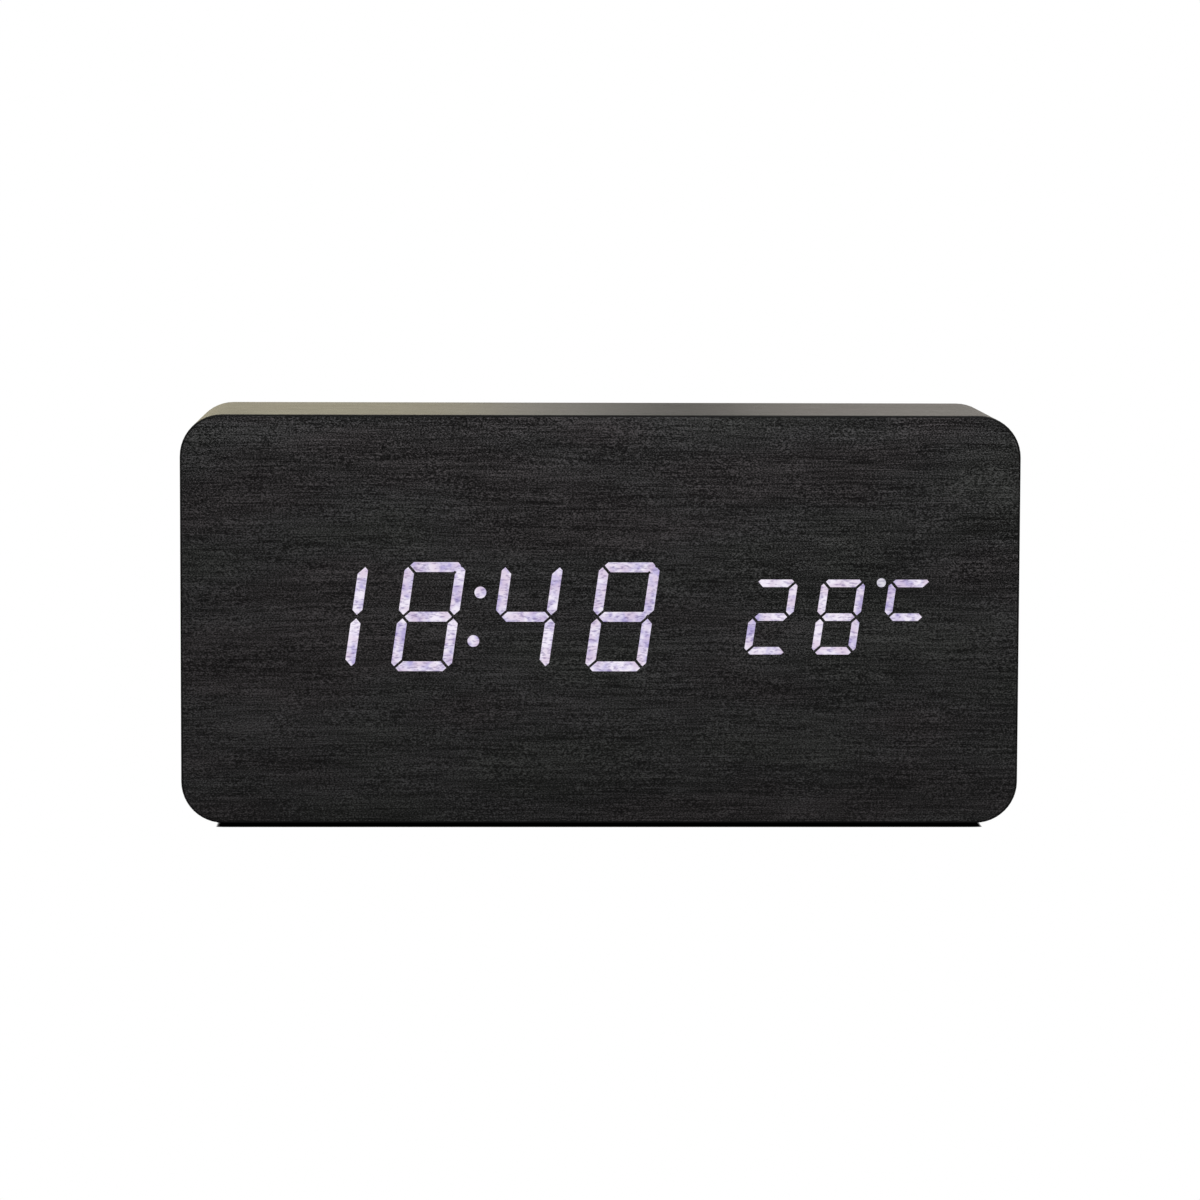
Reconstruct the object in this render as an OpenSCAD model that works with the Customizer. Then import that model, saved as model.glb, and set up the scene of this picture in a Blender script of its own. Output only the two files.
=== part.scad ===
// Digital alarm clock: a wood-look block whose front film lets the light of the digits through.
// Millimetres. +X is to the right seen from the front, +Y runs to the back and +Z is up.
// The origin lies on the table under the middle of the block.

/* [Block] */
// Width of the block
body_w = 148; // [134:1:190]
// Height of the block without its feet
body_h = 72.3; // [66:0.1:100]
// Depth of the block from front to back
body_d = 42; // [39:0.5:70]
// Radius of the block's four long edges
corner_r = 7.4; // [6:0.1:10]
// Thickness of the wood-grain film
film_t = 0.4; // [0.2:0.05:0.8]
// Thickness of the fibreboard round the cavity
wall_t = 7; // [6:0.25:8.5]
// Thickness of the fibreboard behind the front film
front_wall_t = 5; // [4:0.25:8]
// Side of the square post in each corner of the cavity
post_w = 9; // [7:0.5:10]
// Radius of a foot pad
foot_r = 5; // [3:0.25:7]
// Height of a foot pad
foot_h = 0.7; // [0.4:0.1:3]
// Distance from the block's side to the middle of a foot
foot_side = 16; // [14:0.5:30]
// Distance from the block's front or back to the middle of a foot
foot_end = 10; // [8:0.5:12]

/* [Display] */
// Digits of the time, from left to right
shown_time = [1, 8, 4, 8]; // [0:1:9]
// Digits of the temperature, from left to right
shown_temperature = [2, 8]; // [0:1:9]
// Height of the digits' middle above the block's underside
display_rise = 36.7; // [34:0.1:38]
// Sideways lean of the digits for each unit of height
slant = 0.143; // [0:0.005:0.2]
// Distance from the block's left side to the middle of the first time digit
time_side = 26.5; // [25:0.1:28]
// Step from one time digit to the next
time_pitch = 17.12; // [16:0.02:18]
// Width of a time digit
time_w = 10.7; // [9:0.05:11.5]
// Height of a time digit
time_h = 19.3; // [17:0.1:21]
// Thickness of a time digit's bars
time_bar = 1.74; // [1.4:0.02:2]
// Cut across the outer corners of a time digit
time_cut = 1.45; // [0.8:0.05:1.7]
// Distance from the block's right side to the middle of the first temperature digit
temp_side = 43.92; // [43:0.02:46]
// Step from one temperature digit to the next
temp_pitch = 11.92; // [11:0.02:12.5]
// Width of a temperature digit
temp_w = 7.72; // [7:0.02:8.5]
// Height of a temperature digit
temp_h = 13.3; // [12:0.1:15]
// Thickness of a temperature digit's bars
temp_bar = 1.34; // [1.2:0.02:1.6]
// Cut across the outer corners of a temperature digit
temp_cut = 1.1; // [0.6:0.05:1.3]
// Dark gap between two bars
bar_gap = 0.46; // [0.3:0.02:0.6]
// Radius of a colon dot
colon_r = 1.04; // [0.8:0.02:1.4]
// Distance of a colon dot above or below the digits' middle
colon_rise = 4.3; // [3:0.05:6]
// Radius of the degree dot
degree_r = 0.8; // [0.5:0.05:0.9]
// Distance of the degree dot to the left of the last digit's middle
degree_back = 5.24; // [5:0.02:5.6]
// Height of the degree dot above the digits' middle
degree_rise = 6.1; // [5:0.1:6.5]

/* [Display stack] */
// Thickness of the black mask behind the film
mask_t = 0.2; // [0.1:0.05:0.4]
// Thickness of the milky diffuser sheet
diffuser_t = 0.5; // [0.3:0.05:0.8]
// Width of the reflector frame outside the digits
frame_margin = 2; // [1.5:0.1:3]
// Gap between the reflector frame and its window in the fibreboard
frame_gap = 0.2; // [0.1:0.05:0.5]
// Width of the display board outside the reflector frame at its two ends
lip_x = 2.5; // [1:0.1:3.5]
// Width of the display board outside the reflector frame above and below
lip_z = 5; // [4.6:0.1:5.6]
// Thickness of a circuit board
board_t = 1.6; // [1:0.1:2]
// Length of a light-emitting diode
led_l = 1; // [0.8:0.05:1.2]
// Width of a light-emitting diode
led_w = 0.6; // [0.4:0.05:0.8]
// Height of a light-emitting diode
led_t = 0.5; // [0.3:0.05:1]

/* [Rear panel] */
// Width of the fibreboard rim round the rear panel
rim_t = 4.2; // [3.6:0.1:5]
// Thickness of the rear panel
panel_t = 2; // [1.6:0.1:2.6]
// Depth of the rear panel's face inside the rim
panel_recess = 1.5; // [1.3:0.1:3]
// Gap round the rear panel
panel_gap = 0.2; // [0.1:0.05:0.5]
// Distance of a panel screw from the cavity's wall
screw_inset = 4.5; // [3.6:0.1:5]

/* [Battery bay] */
// Diameter of a cell
cell_d = 10.5; // [10:0.1:10.8]
// Length of a cell with its nub
cell_l = 44.5; // [43:0.1:46]
// Radius of a cell's nub
nub_r = 1.9; // [1.5:0.1:2.5]
// Height of a cell's nub
nub_l = 1; // [0.8:0.1:1.5]
// Gap between two cells
cell_gap = 0.5; // [0.3:0.05:1]
// Gap round a cell in the bay
cell_play = 0.35; // [0.2:0.05:0.8]
// Length of a compressed contact spring
spring_l = 4; // [3.6:0.1:5]
// Radius of the spring's wire
wire_r = 0.3; // [0.2:0.02:0.35]
// Thickness of a contact plate
contact_t = 0.4; // [0.3:0.05:0.6]
// Thickness of the bay's walls
bay_wall = 2; // [1.8:0.1:2.6]
// Thickness of the bay's floor
bay_floor = 1.5; // [1.2:0.1:2.5]
// Gap between the bay's outside and the control board
bay_side = 4.45; // [1:0.05:6]
// Distance of the bay's middle below the block's middle
bay_drop = 0.5; // [0:0.1:1]
// Width of the ledge that the door rests on
door_lap = 1.4; // [1:0.1:1.5]
// Gap round the door
door_gap = 0.25; // [0.15:0.05:0.3]
// Gap between the door and its ledge
door_seat = 0.1; // [0.05:0.05:0.2]
// Width of a door hook
hook_w = 7; // [4:0.5:12]
// Reach of a door hook below the door's edge
hook_reach = 1.2; // [0.8:0.1:1.4]
// Width of the latch tongue
latch_w = 11; // [8:0.5:16]

/* [Controls] */
// Gap between the control board and the corner posts beside it
post_gap = 0.5; // [0.3:0.1:2]
// Width of a button
button_w = 9; // [7:0.1:9.6]
// Height of a button
button_h = 5.6; // [4.5:0.1:6.4]
// Step from one button to the next
button_pitch = 13; // [12.5:0.1:13.5]
// Height of the buttons above the block's middle
button_rise = 10.5; // [9:0.1:11]
// How far a button stands out of the rear panel
button_proud = 0.9; // [0.4:0.05:1.1]
// Gap round a button in the rear panel
button_gap = 0.2; // [0.15:0.05:0.4]
// Travel of a button
button_travel = 0.3; // [0.2:0.05:0.5]
// Distance from the rear panel's inside to the control board
boss_l = 6.9; // [6.7:0.1:9]
// Drop of the sound slots, vents and power socket below the block's middle
socket_drop = 10; // [9:0.1:11]
// Radius of the alarm buzzer
buzzer_r = 6; // [4.5:0.25:6.5]
// Height of the alarm buzzer
buzzer_t = 6.2; // [4:0.1:6.4]

/* [Hidden] */

// Smoothness of round faces
$fn = 64;
// Overshoot of a cut past the face that it opens
cut = 1;
// Gap round a screw's shank, a solder tail or another snug piece
snug = 0.05;

// Block: planes and outlines
front_y = -body_d / 2;
rear_y = body_d / 2;
core_y = front_y + film_t;
wall_y = core_y + front_wall_t;
mid_z = foot_h + body_h / 2;
core_w = body_w - 2 * film_t;
core_h = body_h - 2 * film_t;
core_r = corner_r - film_t;
cavity_w = core_w - 2 * wall_t;
cavity_h = core_h - 2 * wall_t;
cavity_r = 3;
post_r = 1.5;

// Display: outlines of the stack, which all follow the digits
display_z = foot_h + display_rise;
time_digit = [time_w, time_h, time_bar, time_cut];
temp_digit = [temp_w, temp_h, temp_bar, temp_cut];
time_count = 4;
temp_count = 3;
time_x = time_side - body_w / 2;
temp_x = body_w / 2 - temp_side;
degree_x = temp_x + (temp_count - 1) * temp_pitch - degree_back;
colon_x = time_x + (time_count - 1) / 2 * time_pitch;
digits_left = time_x - time_w / 2 - slant * time_h / 2;
digits_right = temp_x + (temp_count - 1) * temp_pitch + temp_w / 2 + slant * temp_h / 2;
frame_x = (digits_left + digits_right) / 2;
frame_w = digits_right - digits_left + 2 * frame_margin;
frame_h = time_h + 2 * frame_margin;
frame_r = 1;
mask_y = core_y + mask_t;
diffuser_y = mask_y + diffuser_t;
board_y = wall_y + board_t;
board_w = frame_w + 2 * lip_x;
board_h = frame_h + 2 * lip_z;
board_r = 1;
board_right = frame_x + board_w / 2;

// Digits: which bars each numeral lights, and the raised letter after the degree dot
numerals = ["abcdef", "bc", "abged", "abgcd", "fgbc", "afgcd", "afgedc", "abc", "abcdefg", "abcdfg"];
raised_c = "afg";
all_bars = numerals[8];
// Time digits whose dark gap between the top and right bars is lit through
top_leaks = [false, true, false, true];
// Time digits whose dark gap between the right and middle bars is lit through
middle_leaks = [false, false, false, true];
leak_lap = 0.15;
leak_gap = 0.12;

// Diodes: step between the two behind a bar of a time digit
led_step = 3.6;

// Screws: head radius, head height, shank radius and shank length
panel_screw = [2.6, 1.4, 1.2, 8];
board_screw = [2, 1.2, 0.9, 4.6];
panel_sink = 0.9;
// Cross slot of a screw: length and width as shares of the head's radius
cross_slot = [1.2, 0.28];
board_screw_edge = 8;
board_screw_x = board_w / 2 - board_screw_edge;
board_screw_z = (frame_h + lip_z) / 2;

// Rear panel: planes and outlines
panel_out = rear_y - panel_recess;
panel_in = panel_out - panel_t;
rebate_w = core_w - 2 * rim_t;
rebate_h = core_h - 2 * rim_t;
rebate_r = max(core_r - rim_t, 2 * panel_gap);
panel_w = rebate_w - 2 * panel_gap;
panel_h = rebate_h - 2 * panel_gap;
panel_r = rebate_r - panel_gap;
panel_screw_x = cavity_w / 2 - screw_inset;
panel_screw_z = cavity_h / 2 - screw_inset;

// Battery bay and door, beside the control board
control_w = 48;
control_h = 36;
control_x = cavity_w / 2 - post_w - post_gap - control_w / 2;
bay_z = mid_z - bay_drop;
cell_pitch = cell_d + cell_gap;
bay_in_w = cell_l + spring_l + 2 * contact_t;
bay_x = control_x - control_w / 2 - bay_side - bay_wall - bay_in_w / 2;
bay_in_h = 2 * cell_pitch + cell_d + 2 * cell_play;
bay_left = bay_x - bay_in_w / 2;
bay_right = bay_x + bay_in_w / 2;
bay_low = bay_z - bay_in_h / 2;
bay_top = bay_z + bay_in_h / 2;
door_t = panel_t - door_seat;
door_in = panel_in + door_seat;
door_w = bay_in_w + 2 * door_lap;
door_h = bay_in_h + 2 * door_lap;
door_low = bay_z - door_h / 2;
door_top = bay_z + door_h / 2;
cradle_gap = 0.1;
cell_y = door_in - cell_play - cell_d / 2;
bay_in_y = cell_y - cell_d / 2 - cradle_gap;
bay_out_y = bay_in_y - bay_floor;
cell_edge = 0.5;
cradle_t = 2;
cradle_h = 3;
cradle_x = bay_in_w / 4;

// Door hinge: the door rolls on its round lower edge, held by two hooks behind the panel
pivot_y = panel_out - door_t / 2;
pivot_z = door_low + door_t / 2;
hook_t = 1;
hook_gap = 0.4;
hook_x = door_w / 4;
hook_out = panel_in - hook_gap;
hook_in = hook_out - hook_t;
hook_low = door_low - hook_reach;
hook_swing = norm([pivot_y - hook_in, pivot_z - hook_low]);
notch_y = pivot_y - hook_swing - hook_gap;

// Door latch: a tongue folded back on itself, with a thumb pad in a notch of the panel
latch_t = 1;
latch_r = 1.2;
latch_gap = 0.5;
latch_fold = 3.3;
latch_y = panel_in - latch_fold;
latch_z = door_top - latch_t / 2 + latch_r;
latch_top = latch_z + latch_r + latch_t / 2;
pad_t = 1.2;
pad_h = 1.7;
nib_drop = 1;
nib_y = panel_in - nib_drop;
nib_t = 0.8;
nib_h = 0.4;
pocket_w = latch_w + 2 * latch_gap;
pocket_top = latch_z + latch_r - latch_t / 2 + pad_h + latch_gap;
pocket_y = latch_y - latch_r - latch_t / 2 - latch_gap;
scoop_r = 12;
scoop_depth = 1.2;
scoop_rise = 1;
groove_w = 0.8;
groove_depth = 0.4;
groove_pitch = 2;
groove_count = 3;
groove_l = 16;
rib_t = 1.2;
rib_h = 2;

// Cell contacts and springs
contact_w = 9;
contact_rise = 4;
contact_top = cell_y + contact_rise;
tail_w = 2.4;
tail_l = 2;
spring_turns = 3.5;
spring_base_r = 3;
spring_tip_r = 1.6;
curl_rings = 8;
wire_sides = 6;

// Control board and what stands on it
control_y = panel_in - boss_l;
control_front = control_y - board_t;
control_drop = 0.5;
control_z = mid_z - control_drop;
boss_r = 2.5;
boss_inset = 2.5;
boss_x = control_w / 2 - boss_inset;
boss_z = control_h / 2 - boss_inset;
button_z = mid_z + button_rise;
socket_z = mid_z - socket_drop;
flange_t = 1;
flange_w = 0.8;
flange_gap = 0.1;
stem_r = 2;
dish_r = 14;
dish_depth = 0.35;
switch_w = 6;
switch_t = 3.5;
plunger_r = 1.75;
plunger_gap = 0.08;
plunger_proud = 1;
plunger_in = 1;
plunger_room = 0.3;
plunger_top = control_y + switch_t + plunger_proud;
buzzer_side = 9;
buzzer_x = control_x - buzzer_side;
buzzer_y = control_y + buzzer_t;
buzzer_hole_r = 1.2;
buzzer_hole_l = 3;
buzzer_rim = 0.8;
sensor_side = 2.5;
sensor_x = control_x + sensor_side;
sensor_r = 1.2;
sensor_gap = 1.2;
sensor_y = panel_in - sensor_gap - sensor_r;
sensor_lead_r = 0.25;
sensor_lead_gap = 1.2;
slot_w = 1.2;
slot_pitch = 2.4;
// Sound slots on either side of the middle one
sound_side = floor((buzzer_r - slot_w / 2) / slot_pitch);
vent_side = 1;
vent_l = 6;

// Power socket: outline of the plug's space, wall of the shell and its place
socket_side = 13;
socket_x = control_x + socket_side;
plug_w = 6.9;
plug_h = 1.9;
plug_cut = 0.8;
shell_t = 0.35;
socket_gap = 0.35;
socket_sunk = 0.2;
tongue_w = 3.6;
tongue_t = 0.65;
tongue_base = 3;
tongue_short = 0.9;

// Wiring: radius of a lead, width and thickness of the ribbon
lead_r = 0.65;
lead_sides = 8;
ribbon_w = 10;
ribbon_t = 0.9;
ribbon_steps = 16;
ribbon_rise = 2;
ribbon_x = control_x;

// Display board: places of the larger components, from its right end and from its middle height
controller_side = 49.2;
driver_side = 15.2;
driver_drop = 6;
crystal_side = 33.2;
crystal_drop = 8;
capacitor_side = 9.2;
capacitor_rise = 8;
controller_at = [board_right - controller_side, display_z];
driver_at = [board_right - driver_side, display_z - driver_drop];
crystal_at = [board_right - crystal_side, display_z - crystal_drop];
capacitor_at = [board_right - capacitor_side, display_z + capacitor_rise];
chip_w = 7.5;
chip_t = 2.3;
chip_end = 0.95;
controller_pins = 28;
driver_pins = 24;
pin_pitch = 1.27;
pin_l = 1.4;
pin_w = 0.4;
pin_t = 0.3;
crystal_r = 1.55;
crystal_l = 8;
capacitor_r = 3.15;
capacitor_l = 7;

// Shape helpers
module at(x, z) {
    translate([x, z]) children();
}

// Stands a front-view outline up and gives it depth from y0 to y1
module along_y(y0, y1) {
    translate([0, y1, 0]) rotate([90, 0, 0]) linear_extrude(y1 - y0) children();
}

// Stands a side-view outline (y, z) up and gives it width from x0 to x1
module along_x(x0, x1) {
    translate([x0, 0, 0]) rotate([90, 0, 90]) linear_extrude(x1 - x0) children();
}

module rod_y(x, z, r, y0, y1) {
    translate([x, y1, z]) rotate([90, 0, 0]) cylinder(r = r, h = y1 - y0);
}

module rounded(w, h, r) {
    square([w - 2 * r, h], center = true);
    square([w, h - 2 * r], center = true);
    for (sx = [-1, 1], sz = [-1, 1]) translate([sx * (w / 2 - r), sz * (h / 2 - r)]) circle(r);
}

// A slot with round ends, upright or lying
module stadium(w, h) {
    r = min(w, h) / 2;
    square(w > h ? [w - 2 * r, h] : [w, h - 2 * r], center = true);
    for (s = [-1, 1]) translate([s * (w / 2 - r), s * (h / 2 - r)]) circle(r);
}

module four_corners(x, z) {
    for (sx = [-1, 1], sz = [-1, 1]) translate([sx * x, 0, sz * z]) children();
}

// A screw with a cross slot; its shank runs to the front (way 1) or to the back (way -1)
module screw(seat_y, way, size) {
    translate([0, seat_y, 0]) rotate([way * 90, 0, 0]) {
        cylinder(r = size[2], h = size[3]);
        difference() {
            translate([0, 0, -size[1]]) cylinder(r = size[0], h = size[1]);
            for (turn = [0, 90]) rotate(turn) translate([0, 0, -size[1]])
                cube([size[0] * cross_slot[0], size[0] * cross_slot[1], size[1]], center = true);
        }
    }
}

// Digits: outlines of the bars about a digit's middle, before they lean
function mitre() = bar_gap / sqrt(2);

function top_bar(d) =
    let (w = d[0] / 2, h = d[1] / 2, t = d[2], c = d[3], e = mitre())
    [
        [c - w, h], [w - c, h], [w - (c + e) / 2, h - (c - e) / 2],
        [w - t - e, h - t], [t + e - w, h - t], [(c + e) / 2 - w, h - (c - e) / 2]
    ];

function side_bar(d) =
    let (w = d[0] / 2, h = d[1] / 2, t = d[2], c = d[3], e = mitre())
    [
        [-w, h - c], [(c - e) / 2 - w, h - (c + e) / 2], [t - w, h - t - e],
        [t - w, e + t / 2], [t / 2 - w, e], [-w, e + t / 2]
    ];

function middle_bar(d) =
    let (w = d[0] / 2, t = d[2], e = mitre())
    [
        [t / 2 + e - w, 0], [t + e - w, t / 2], [w - t - e, t / 2],
        [w - t / 2 - e, 0], [w - t - e, -t / 2], [t + e - w, -t / 2]
    ];

// A strip of light along the dark gap from p to q, a little into the bars on either side
function leak(p, q) =
    let (
        d = unit(q - p),
        n = (bar_gap / 2 + leak_lap) * [d[1], -d[0]],
        a = p + leak_gap * d,
        b = q - leak_gap * d
    )
    [a - n, b - n, b + n, a + n];

// Light in the gap between the top bar and the upper right bar
function top_leak(d) =
    let (w = d[0] / 2, h = d[1] / 2, t = d[2], c = d[3])
    leak([w - c / 2, h - c / 2], [w - t, h - t]);

// Light in the gap between the upper right bar and the middle bar
function middle_leak(d) =
    let (w = d[0] / 2, t = d[2], e = mitre())
    leak([w - t - e / 2, (t + e) / 2], [w - (t + e) / 2, e / 2]);

// Mirrors an outline's points and keeps them running clockwise
function flipped(p, sx, sz) =
    [for (i = [0 : len(p) - 1]) let (q = p[sx * sz > 0 ? i : len(p) - 1 - i]) [sx * q[0], sz * q[1]]];

function bar_points(bar, d) =
    bar == "a" ? top_bar(d) :
    bar == "b" ? flipped(side_bar(d), -1, 1) :
    bar == "c" ? flipped(side_bar(d), -1, -1) :
    bar == "d" ? flipped(top_bar(d), 1, -1) :
    bar == "e" ? flipped(side_bar(d), 1, -1) :
    bar == "f" ? side_bar(d) :
    middle_bar(d);

// Middle of a bar, and whether it stands upright
function bar_middle(bar, d) =
    let (w = (d[0] - d[2]) / 2, h = (d[1] - d[2]) / 2)
    bar == "a" ? [0, h] :
    bar == "b" ? [w, h / 2] :
    bar == "c" ? [w, -h / 2] :
    bar == "d" ? [0, -h] :
    bar == "e" ? [-w, -h / 2] :
    bar == "f" ? [-w, h / 2] :
    [0, 0];

function upright(bar) = len(search(bar, "bcef")) > 0;

function lit(numeral, bar) = len(search(bar, numerals[numeral])) > 0;

function leaned(x, q) = [x + q[0] + slant * q[1], display_z + q[1]];

module leaning(points, x) {
    polygon([for (q = points) leaned(x, q)]);
}

module digit(bars, d, x) {
    for (bar = bars) leaning(bar_points(bar, d), x);
}

module colon_spots() {
    for (s = [-1, 1]) translate(leaned(colon_x, [0, s * colon_rise])) circle(colon_r);
}

module degree_spot() {
    translate(leaned(degree_x, [0, degree_rise])) circle(degree_r);
}

module lit_time() {
    for (i = [0 : time_count - 1]) {
        x = time_x + i * time_pitch;
        n = shown_time[i];
        digit(numerals[n], time_digit, x);
        if (top_leaks[i] && lit(n, "a") && lit(n, "b")) leaning(top_leak(time_digit), x);
        if (middle_leaks[i] && lit(n, "b") && lit(n, "g")) leaning(middle_leak(time_digit), x);
    }
}

module lit_temperature() {
    for (i = [0 : len(shown_temperature) - 1])
        digit(numerals[shown_temperature[i]], temp_digit, temp_x + i * temp_pitch);
    digit(raised_c, temp_digit, temp_x + (temp_count - 1) * temp_pitch);
}

// Every bar and dot that the display can light
module all_wells() {
    for (i = [0 : time_count - 1]) digit(all_bars, time_digit, time_x + i * time_pitch);
    for (i = [0 : temp_count - 1]) digit(all_bars, temp_digit, temp_x + i * temp_pitch);
    colon_spots();
    degree_spot();
}

module frame_outline(gap) {
    at(frame_x, display_z) rounded(frame_w + 2 * gap, frame_h + 2 * gap, frame_r + gap);
}

// Block
module case_core() color("saddlebrown") difference() {
    along_y(core_y, rear_y) at(0, mid_z) rounded(core_w, core_h, core_r);
    along_y(panel_in, rear_y + cut) at(0, mid_z) rounded(rebate_w, rebate_h, rebate_r);
    along_y(wall_y, panel_in + cut) at(0, mid_z) difference() {
        rounded(cavity_w, cavity_h, cavity_r);
        for (sx = [-1, 1], sz = [-1, 1]) at(sx * cavity_w / 2, sz * cavity_h / 2)
            rounded(2 * post_w, 2 * post_w, post_r);
    }
    along_y(core_y - cut, wall_y + cut) frame_outline(frame_gap);
    translate([0, 0, mid_z]) four_corners(panel_screw_x, panel_screw_z)
        rod_y(0, 0, panel_screw[2] + snug, panel_in - panel_screw[3] - cut, panel_in + cut);
    translate([frame_x, 0, display_z]) four_corners(board_screw_x, board_screw_z)
        rod_y(0, 0, board_screw[2] + snug, board_y - board_screw[3] - snug, wall_y + cut);
}

module side_wrap() color([0.12, 0.12, 0.12]) along_y(core_y, rear_y) at(0, mid_z) difference() {
    rounded(body_w, body_h, corner_r);
    rounded(core_w, core_h, core_r);
}

module front_film() color([0.16, 0.15, 0.15]) along_y(front_y, core_y) difference() {
    at(0, mid_z) rounded(body_w, body_h, corner_r);
    lit_time();
    lit_temperature();
    colon_spots();
    degree_spot();
}

module rubber_feet() color("black") for (sx = [-1, 1], sy = [-1, 1])
    translate([sx * (body_w / 2 - foot_side), sy * (body_d / 2 - foot_end), 0])
        cylinder(r = foot_r, h = foot_h);

// Lit areas of the front film
module time_segments() color("lavender") along_y(front_y, core_y) lit_time();

module colon_dots() color("lavender") along_y(front_y, core_y) colon_spots();

module temperature_segments() color("lavender") along_y(front_y, core_y) lit_temperature();

module degree_dot() color("lavender") along_y(front_y, core_y) degree_spot();

// Display stack
module segment_mask() color([0.05, 0.05, 0.05]) along_y(core_y, mask_y) difference() {
    frame_outline(0);
    all_wells();
}

module diffuser_sheet() color("ghostwhite") along_y(mask_y, diffuser_y) frame_outline(0);

module reflector_frame() color("white") along_y(diffuser_y, wall_y) difference() {
    frame_outline(0);
    all_wells();
}

module display_board() color("darkgreen") difference() {
    along_y(wall_y, board_y) at(frame_x, display_z) rounded(board_w, board_h, board_r);
    translate([frame_x, 0, display_z]) four_corners(board_screw_x, board_screw_z)
        rod_y(0, 0, board_screw[2] + snug, wall_y - cut, board_y + cut);
}

// One diode on the board's front, centred on a front-view point
module led(p, stands) {
    size = stands ? [led_w, led_t, led_l] : [led_l, led_t, led_w];
    translate([p[0] - size[0] / 2, wall_y - led_t, p[1] - size[2] / 2]) cube(size);
}

// Diodes of one digit, spread along each bar
module digit_leds(d, x, spread) {
    for (bar = all_bars, s = spread) {
        along = upright(bar) ? [0, s] : [s, 0];
        led(leaned(x, bar_middle(bar, d) + along), upright(bar));
    }
}

module display_leds() color("khaki") {
    for (i = [0 : time_count - 1])
        digit_leds(time_digit, time_x + i * time_pitch, [-led_step / 2, led_step / 2]);
    for (i = [0 : temp_count - 1]) digit_leds(temp_digit, temp_x + i * temp_pitch, [0]);
    for (s = [-1, 1]) led(leaned(colon_x, [0, s * colon_rise]), false);
    led(leaned(degree_x, [0, degree_rise]), false);
}

module display_board_screws() color("silver") translate([frame_x, 0, display_z])
    four_corners(board_screw_x, board_screw_z) screw(board_y, 1, board_screw);

// A chip with a row of pins along its upper and lower sides
module chip(p, pins) {
    l = (pins / 2 - 1) * pin_pitch + 2 * chip_end;
    translate([p[0] - l / 2, board_y + pin_t, p[1] - chip_w / 2]) cube([l, chip_t, chip_w]);
    for (i = [0 : pins / 2 - 1], s = [-1, 1])
        translate([p[0] + (i - (pins / 2 - 1) / 2) * pin_pitch, 0, p[1] + s * chip_w / 2])
            translate([-pin_w / 2, board_y, s > 0 ? 0 : -pin_l]) {
                cube([pin_w, pin_t, pin_l]);
                translate([0, 0, s > 0 ? 0 : pin_l - pin_t]) cube([pin_w, chip_t / 2, pin_t]);
            }
}

module controller_chip() color([0.15, 0.15, 0.15]) chip(controller_at, controller_pins);

module driver_chip() color([0.15, 0.15, 0.15]) chip(driver_at, driver_pins);

module clock_crystal() color("silver")
    translate([crystal_at[0] - crystal_l / 2, board_y + crystal_r + snug, crystal_at[1]])
        rotate([0, 90, 0]) cylinder(r = crystal_r, h = crystal_l);

module smoothing_capacitor() color("midnightblue")
    rod_y(capacitor_at[0], capacitor_at[1], capacitor_r, board_y, board_y + capacitor_l);

// Rear panel
module sound_slots() {
    for (k = [-sound_side : sound_side]) {
        x = k * slot_pitch;
        at(buzzer_x + x, socket_z) stadium(slot_w, 2 * sqrt(pow(buzzer_r, 2) - pow(x, 2)));
    }
}

module vent_slots() {
    for (k = [-vent_side : vent_side]) at(sensor_x + k * slot_pitch, socket_z) stadium(slot_w, vent_l);
}

module button_spot(i) {
    translate([control_x + (1 - i) * button_pitch, 0, button_z]) children();
}

// Gives a side view the width of each door hook, and a gap on either side
module at_hooks(gap) {
    for (s = [-1, 1]) {
        x = bay_x + s * hook_x;
        along_x(x - hook_w / 2 - gap, x + hook_w / 2 + gap) children();
    }
}

// Saddles on the bay's floor that the cells lie in
module cell_cradles() {
    for (s = [-1, 1]) difference() {
        translate([bay_x + s * cradle_x - cradle_t / 2, bay_in_y, bay_low])
            cube([cradle_t, cradle_h, bay_in_h]);
        for (k = [-1 : 1]) translate([bay_left, cell_y, bay_z + k * cell_pitch]) rotate([0, 90, 0])
            cylinder(r = cell_d / 2 + cradle_gap, h = bay_in_w);
    }
}

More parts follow.
